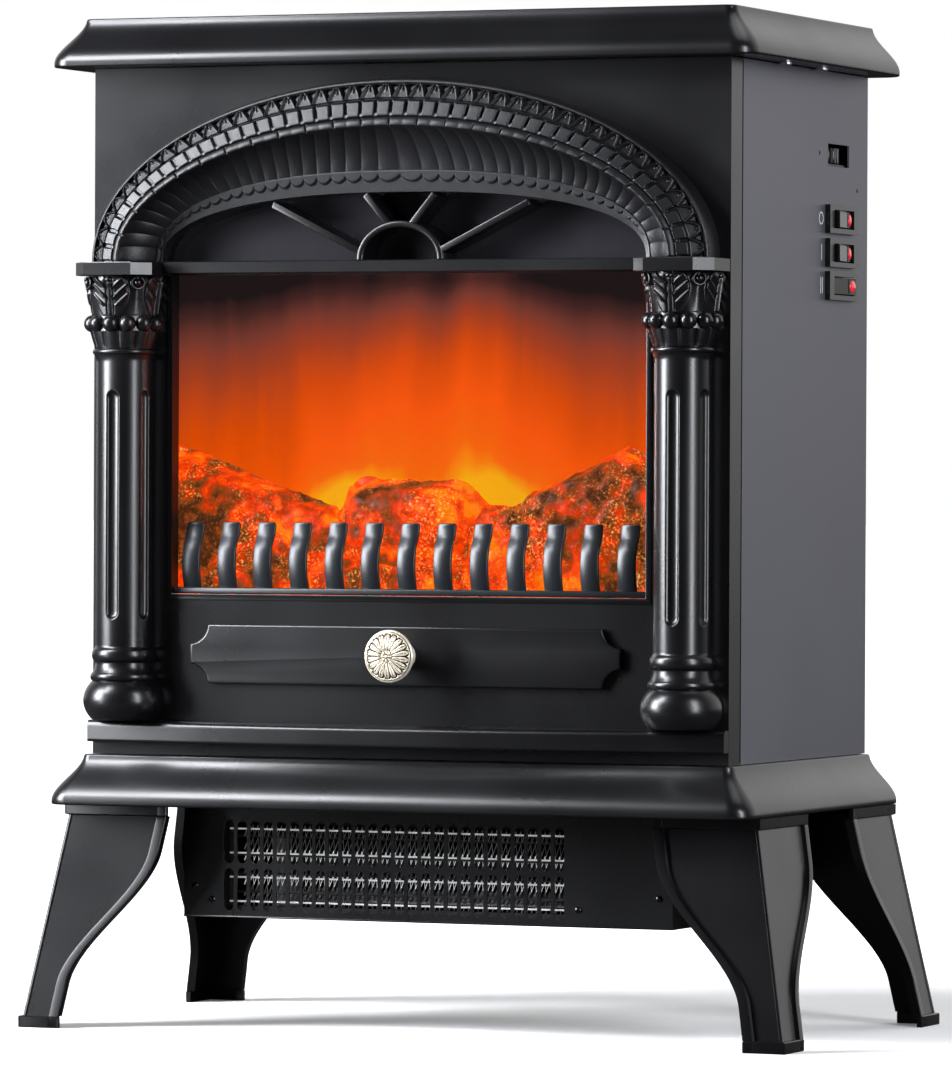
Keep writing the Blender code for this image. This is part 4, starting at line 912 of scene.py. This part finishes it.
def build_embers():
    """The moulded coals: a crumpled front over a flat back, topped by the heap's outline."""
    low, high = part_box("ember_bed")
    heap_x, heap_z = zip(*HEAP_TOP)
    rings = []
    for x in np.linspace(low.x, high.x, 330):
        crumple = 0.0014 * noise.fractal(Vector((x * 90, 0.3, 1.7)), 0.7, 2.0, 4)
        top = np.interp(x, heap_x, heap_z) + crumple
        ring = []
        for share in np.linspace(0, 1, 96):
            z = between(low.z, top, share)
            bulge = 5.0
            for rock_x, rock_z, wide, tall, depth in ROCKS:
                away = abs((x - rock_x) / wide) ** 3 + abs((z - rock_z) / tall) ** 3
                if away < 1:
                    bulge = max(bulge, depth * (1 - away) ** 0.4)
            point = Vector((x, 0.02, z))
            cells = noise.voronoi(point * 70)[0]
            facet = 2.4 * min((cells[1] - cells[0]) * 2.6, 1) - 1.2
            fine = noise.fractal(point * 160, 0.8, 2.1, 5)
            reach = max(bulge + facet + fine, 1.0) / 1000
            reach = reach * min(1, 0.35 + (1 - share) * 9)
            ring.append((x, high.y - reach, z))
        rings.append(ring + [(x, high.y, top), (x, high.y, low.z)])
    add_piece("ember_rocks", skin("ember_bed", rings, 70), EMBER, "ember_bed")


# ---- heater

SCREW_HEAD = ((0.0021, 0.0), (0.0021, 0.0004), (0.0016, 0.0010), (0.0007, 0.0012), (0.0006, 0.0007),
              (0.0001, 0.0007))


def build_outlet():
    """Slotted outlet plate with a hem and screws."""
    low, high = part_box("heater_grille")
    outlines = [[(low.x, low.z), (high.x, low.z), (high.x, high.z), (low.x, high.z)]]
    slots, pitch, first, half = 26, 0.00881, -0.1318, 0.0032
    for slot in range(slots):
        x = first + slot * pitch
        for bottom, top in ((0.0728, 0.0992), (0.1020, 0.1290)):
            outlines.append(arc((x, top - half), half, 0, 180, 8)
                            + arc((x, bottom + half), half, 180, 360, 8))
    plate = flat_mesh("plate", outlines, low.y, high.y)
    hem = box_mesh("hem", (low.x, low.y - 0.0007, low.z), (high.x, low.y, low.z + 0.0011), 0.0002)
    add_piece("heater_outlet", joined("outlet", [plate, hem]), BLACK, "heater_grille")
    screws = [lathe("screw", SCREW_HEAD, (x, low.y, z), (0, -1, 0), 16)
              for x, z in ((-0.1548, 0.0879), (-0.1431, 0.0795), (0.1009, 0.0792), (0.1535, 0.0872))]
    add_piece("heater_screws", joined("screws", screws), PAINT)


def build_element():
    """The element's pale rails, and two zigzag ribbons in painted light and five in painted shade between
    them; the rails and the lit ribbons also carry a painted glow.
    """
    low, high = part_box("heating_element")
    middle, margin, half_deep, half_tall = (low.y + high.y) / 2, 0.001, 0.0012, 0.0034
    rails = []
    for share in (0.10, 0.36, 0.62, 0.88):
        z = between(low.z, high.z, share)
        rails.append([(x, low.y + 0.0006, z) for x in (low.x + margin, high.x - margin)])
    add_piece("element_rails", wire_mesh("rails", rails, 0.0006), GLOW_PAINTED_WIRE)
    # The same wire in two copies: painted light on the two middle ribbons, painted shade on the other five.
    for name, shares, finish in (("painted_lit_ribbons", (0.34, 0.60), GLOW_PAINTED_WIRE),
                                 ("painted_shade_ribbons", (0.12, 0.22, 0.46, 0.72, 0.86), SHADE_PAINTED_WIRE)):
        ribbons = []
        for share in shares:
            centre = between(low.z, high.z, share)
            bends = enumerate(np.arange(low.x + 0.012, high.x - 0.006, 0.0016))
            signs = [(x, 1 if index % 2 else -1) for index, x in bends]
            ribbons.append([(x, middle + sign * half_deep, centre + sign * half_tall) for x, sign in signs])
        add_piece(name, wire_mesh("ribbon", ribbons, 0.00042, 4), finish)


# ---- controls, trim and screws

ROCKER_FACE = 0.0078                      # the rocker's flat face, out from its pivot
INK_X = (HALF, HALF + 0.00012)
LENS_PROFILE = ((0.0037, -0.0006), (0.0037, 0.0002), (0.0035, 0.0005), (0.0026, 0.0008), (0.0013, 0.0010),
                (0.0001, 0.0010))


def build_rocker(word, pivot, tilt):
    """The lamp in the rocker's rear half and the fine rim round its face."""
    turn = Matrix.Translation(pivot) @ Matrix.Rotation(radians(tilt), 4, "Z")
    lens = lathe("lens", LENS_PROFILE, Vector((ROCKER_FACE, 0.0112, 0)), Vector((1, 0, 0)), 28)
    lens.transform(turn)
    add_piece(word + "_lens", lens, LENS, body=word + "_rocker")
    x_low, x_high, half = ROCKER_FACE - 0.0004, ROCKER_FACE + 0.0003, 0.0002
    rims = [box_mesh("rim", (x_low, -0.0157, z - half), (x_high, 0.0157, z + half), 0.0001)
            for z in (-0.0048, 0.0048)]
    rims += [box_mesh("rim", (x_low, y - half, -0.0050), (x_high, y + half, 0.0050), 0.0001)
             for y in (-0.0157, 0.0064)]
    rim = joined("rim", rims)
    rim.transform(turn)
    add_piece(word + "_rim", rim, BLACK, body=word + "_rocker")


def build_controls():
    """Lamps and rims on the rockers, and plain marks beside the switches."""
    pivots = {joint["child"]: Vector(joint["pos_m"]) for joint in frame["joints"] if "pos_m" in joint}
    for word, tilt in (("power", 7), ("low_heat", 7), ("high_heat", -7)):
        build_rocker(word, pivots[word + "_rocker"], tilt)
    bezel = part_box("low_heat_switch")[0].y
    marks = []
    for word, place in (("low_heat", 0.0060), ("high_heat", 0.0045), ("high_heat", 0.0075)):
        z = pivots[word + "_rocker"].z
        marks.append(box_mesh("mark", (INK_X[0], bezel - place - 0.0004, z - 0.0050),
                              (INK_X[1], bezel - place + 0.0004, z + 0.0050)))
    centre = (bezel - 0.0070, pivots["power_rocker"].z)
    ring = [arc(centre, radius, 0, 345, 23) for radius in (0.0040, 0.0032)]
    marks.append(flat_mesh("mark", ring, *INK_X, "YZ"))
    add_piece("switch_marks", joined("switch_marks", marks), INK)


def build_window_trim():
    """The fine raised frame round the window."""
    half, wide, proud, edge, sunk = 0.1565, 0.0036, 0.0006, 0.0003, 0.00005
    bottom, top = 0.2685, WINDOW_HIGH
    profile = ((0, 0.0), (0, -proud * 0.7), (edge, -proud), (wide - edge, -proud), (wide, -proud * 0.7),
               (wide, 0.0))
    bm = bmesh.new()
    rings = []
    for out, y in profile:
        low_z, high_z = bottom - out, top + min(out, 0.0002)
        rings.append([bm.verts.new((side * (half + out), FRONT + y - sunk, z))
                      for side, z in ((-1, low_z), (1, low_z), (1, high_z), (-1, high_z))])
    for first, second in zip(rings, rings[1:] + rings[:1]):
        for index in range(4):
            following = (index + 1) % 4
            bm.faces.new((first[index], first[following], second[following], second[index]))
    add_piece("window_trim", tidy_mesh(bm, "window_trim"), BLACK)


def build_seams():
    """A black sheet of painted shadow along the joint between the fascia's return and each side panel."""
    for side, word in ((-1, "left"), (1, "right")):
        low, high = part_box(word + "_side_panel")
        xs = sorted(side * x for x in INK_X)
        mesh = box_mesh("seam", (xs[0], low.y - 0.0009, low.z + 0.001),
                        (xs[1], low.y + 0.0001, high.z - 0.001))
        add_piece(word + "_joint_painted_shadow", mesh, PAINTED_SHADOW)


def build_thermostat_wheel():
    """The thermostat's thumb wheel with a knurled rim."""
    low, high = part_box("thermostat_wheel")
    middle, radius = (low + high) / 2, (high.x - low.x) / 2
    ridges, soft, rim, web = 30, 0.0005, 0.0012, 0.0035
    angles = np.linspace(0, 2 * pi, ridges * 10, endpoint=False)
    off = np.abs(phase(angles / (2 * pi), ridges) - 0.5)
    teeth = 0.0011 * smooth((0.30 - off) / 0.12 + 0.5)
    rings = []
    for z, inset in ((low.z, web), (low.z, rim + soft), (low.z + soft, rim), (high.z - soft, rim),
                     (high.z, rim + soft), (high.z, web)):
        reach = radius - inset + (teeth if inset == rim else 0.5 * teeth)
        rings.append(np.stack([middle.x + reach * np.cos(angles), middle.y + reach * np.sin(angles),
                               np.full_like(angles, z)], axis=1))
    add_piece("thermostat_knurl", skin("knurl", rings, 50), BLACK, "thermostat_wheel",
              "thermostat_wheel")


def build_back_screws():
    """Sheet screws round the back panel's edge and along the side panels' rear flanges."""
    low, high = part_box("back_panel")
    radius, inset = 0.0034, 0.0150
    profile = [(radius, -0.0002), (radius, 0.0006), (0.82 * radius, 0.0014), (0.45 * radius, 0.0018),
               (0.40 * radius, 0.0010), (0.0001, 0.0009)]
    edges = (low.x + inset, high.x - inset)
    places = [(x, z) for x in (edges[0], 0, edges[1]) for z in (low.z + 0.012, high.z - 0.012)]
    places += [(x, z) for z in (0.31, 0.45) for x in edges]
    heads = [lathe("screw", profile, (x, high.y, z), (0, 1, 0), 20) for x, z in places]
    add_piece("back_screws", joined("back_screws", heads), STEEL)


# ---- CAD nodes that stay

NODES_OF_FINISH = {
    BLACK: "front_fascia glass_frame transom_bar left_slab right_slab cord_gland power_switch "
           "low_heat_switch high_heat_switch power_rocker low_heat_rocker high_heat_rocker "
           "thermostat_wheel",
    PAINT: "cap_plate heater_box blower_wheel",
    GREY: "left_side_panel right_side_panel back_panel",
    STEEL: "cap_screw_left_front cap_screw_left_rear cap_screw_right_front cap_screw_right_rear base_plate "
           "knob_screw firebox_shelf flame_rotor rotor_motor blower_motor air_scroll",
    CLEAR: "window_glass", SMOKED: "fanlight_pane", FLAME: "flame_screen", MICA: "heating_element",
    NYLON: "rotor_bearing blower_bearing terminal_block", BOARD: "led_strip",
    BAKELITE: "thermal_cutout thermostat_body",
}
SOFT_EDGES = {0.0005: "front_fascia", 0.0004: "left_slab right_slab",
              0.0006: "power_switch low_heat_switch high_heat_switch", 0.0002: "thermostat_wheel"}


def dress_cad_nodes():
    for finish, names in NODES_OF_FINISH.items():
        for name in names.split():
            node = frame["nodes"][name]
            node.data.materials.clear()
            node.data.materials.append(finish)
    for width, names in SOFT_EDGES.items():
        for name in names.split():
            soften(frame["nodes"][name], width)


# ---- floor, light and camera

WHITE, DIM_GREY = (1, 1, 1, 1), (0.06, 0.06, 0.06, 1)


def build_stage():
    """A floor that the camera sees as white away from the stove, with a painted shadow where its glow dims
    towards the stove, and that throws little light back on it.
    """
    bm = bmesh.new()
    bmesh.ops.create_grid(bm, x_segments=1, y_segments=1, size=60)
    floor = bpy.data.objects.new("floor", tidy_mesh(bm, "floor"))
    finish = Finish("pale_floor")
    pale = finish.ramp(finish.noise(1.2, 3.0), (0.3, (0.90, 0.90, 0.90)), (0.7, (0.93, 0.93, 0.93)))
    seen = finish.node("ShaderNodeLightPath").outputs["Is Camera Ray"]
    shown = finish.node("ShaderNodeMix", {"Factor": seen, 6: DIM_GREY, 7: pale}, data_type="RGBA").outputs[2]
    away = finish.node("ShaderNodeVectorMath", {0: finish.place}, operation="LENGTH").outputs["Value"]
    # The glow dims towards the stove: a painted shadow under and round it, added to the shadows the lamps
    # cast.
    glow = finish.spread(away, 0.10, 1.1, 0.34, 0.95, interpolation_type="SMOOTHSTEP")
    floor.data.materials.append(finish.fed({
        "Base Color": shown, "Roughness": 0.9, "Specular IOR Level": 0.0, "Emission Color": WHITE,
        "Emission Strength": finish.maths("MULTIPLY", glow, seen)}))
    bpy.context.scene.collection.objects.link(floor)


def add_softbox(name, place, target, size, power):
    light = bpy.data.lights.new(name, "AREA")
    light.color = (0.93, 0.95, 1.0)
    light.shape = "RECTANGLE"
    light.size, light.size_y = size
    light.energy = power
    holder = bpy.data.objects.new(name, light)
    holder.location = place
    holder.rotation_euler = (Vector(target) - Vector(place)).to_track_quat("-Z", "Y").to_euler()
    bpy.context.scene.collection.objects.link(holder)


def light_the_room():
    """White behind the stove, dim in front of it, as in a studio with a lit backdrop."""
    world = bpy.data.worlds.new("studio")
    world.use_nodes = True
    tree = world.node_tree
    everywhere = add_node(tree, "ShaderNodeTexCoord").outputs["Generated"]
    axes = add_node(tree, "ShaderNodeSeparateXYZ", {0: everywhere}).outputs
    behind = map_range(tree, axes["Y"], 0.012, 1.0, 0.02, 0.68, interpolation_type="SMOOTHSTEP")
    seen = add_node(tree, "ShaderNodeLightPath").outputs["Is Camera Ray"]
    strength = add_node(tree, "ShaderNodeMix", {"Factor": seen, 2: behind, 3: 1.0}, data_type="FLOAT")
    set_inputs(tree, tree.nodes["Background"], {"Strength": strength.outputs[0], "Color": WHITE})
    bpy.context.scene.world = world
    add_softbox("key_left", (-1.30, -0.90, 0.74), (-0.1, 0, 0.35), (0.45, 0.90), 60)
    add_softbox("key_low", (-1.05, -1.05, 0.38), (-0.3, -0.1, 0.38), (0.16, 0.75), 7.0)
    add_softbox("key_high", (-0.90, -1.05, 1.35), (-0.2, -0.1, 0.4), (0.32, 0.6), 26)
    add_softbox("strip_right", (1.50, -0.85, 0.65), (0.2, -0.1, 0.35), (0.30, 1.4), 26)
    add_softbox("top", (0.4, 0.3, 2.1), (0, 0, 0.3), (1.2, 0.9), 6)


def place_camera():
    """The camera stands right of the stove and looks at it a little from the side, nearly level."""
    yaw, pitch, roll = 0.39932, 0.007144, 0.004273
    ahead = Vector((-sin(yaw) * cos(pitch), cos(yaw) * cos(pitch), -sin(pitch)))
    right = Vector((cos(yaw), sin(yaw), 0))
    up = right.cross(ahead)
    turned_right = cos(roll) * right + sin(roll) * up
    turned_up = cos(roll) * up - sin(roll) * right
    lens = bpy.data.cameras.new("camera")
    lens.lens = 243.73
    lens.sensor_width = 36
    lens.clip_start = 0.05
    camera = bpy.data.objects.new("camera", lens)
    rotation = Matrix((turned_right, turned_up, -ahead)).transposed().to_4x4()
    camera.matrix_world = Matrix.Translation((1.7624, -4.1788, 0.3344)) @ rotation
    bpy.context.scene.collection.objects.link(camera)
    bpy.context.scene.camera = camera
    bpy.context.scene.view_settings.view_transform = "Standard"


# ---- build

for build in (place_camera, light_the_room, build_stage, dress_cad_nodes, build_mouldings, build_legs,
              build_arch, build_fanlight, build_columns, build_sill_ledge, build_drawer_front, build_knob,
              build_grate, build_embers, build_outlet, build_element, build_controls, build_window_trim,
              build_seams, build_thermostat_wheel, build_back_screws):
    build()
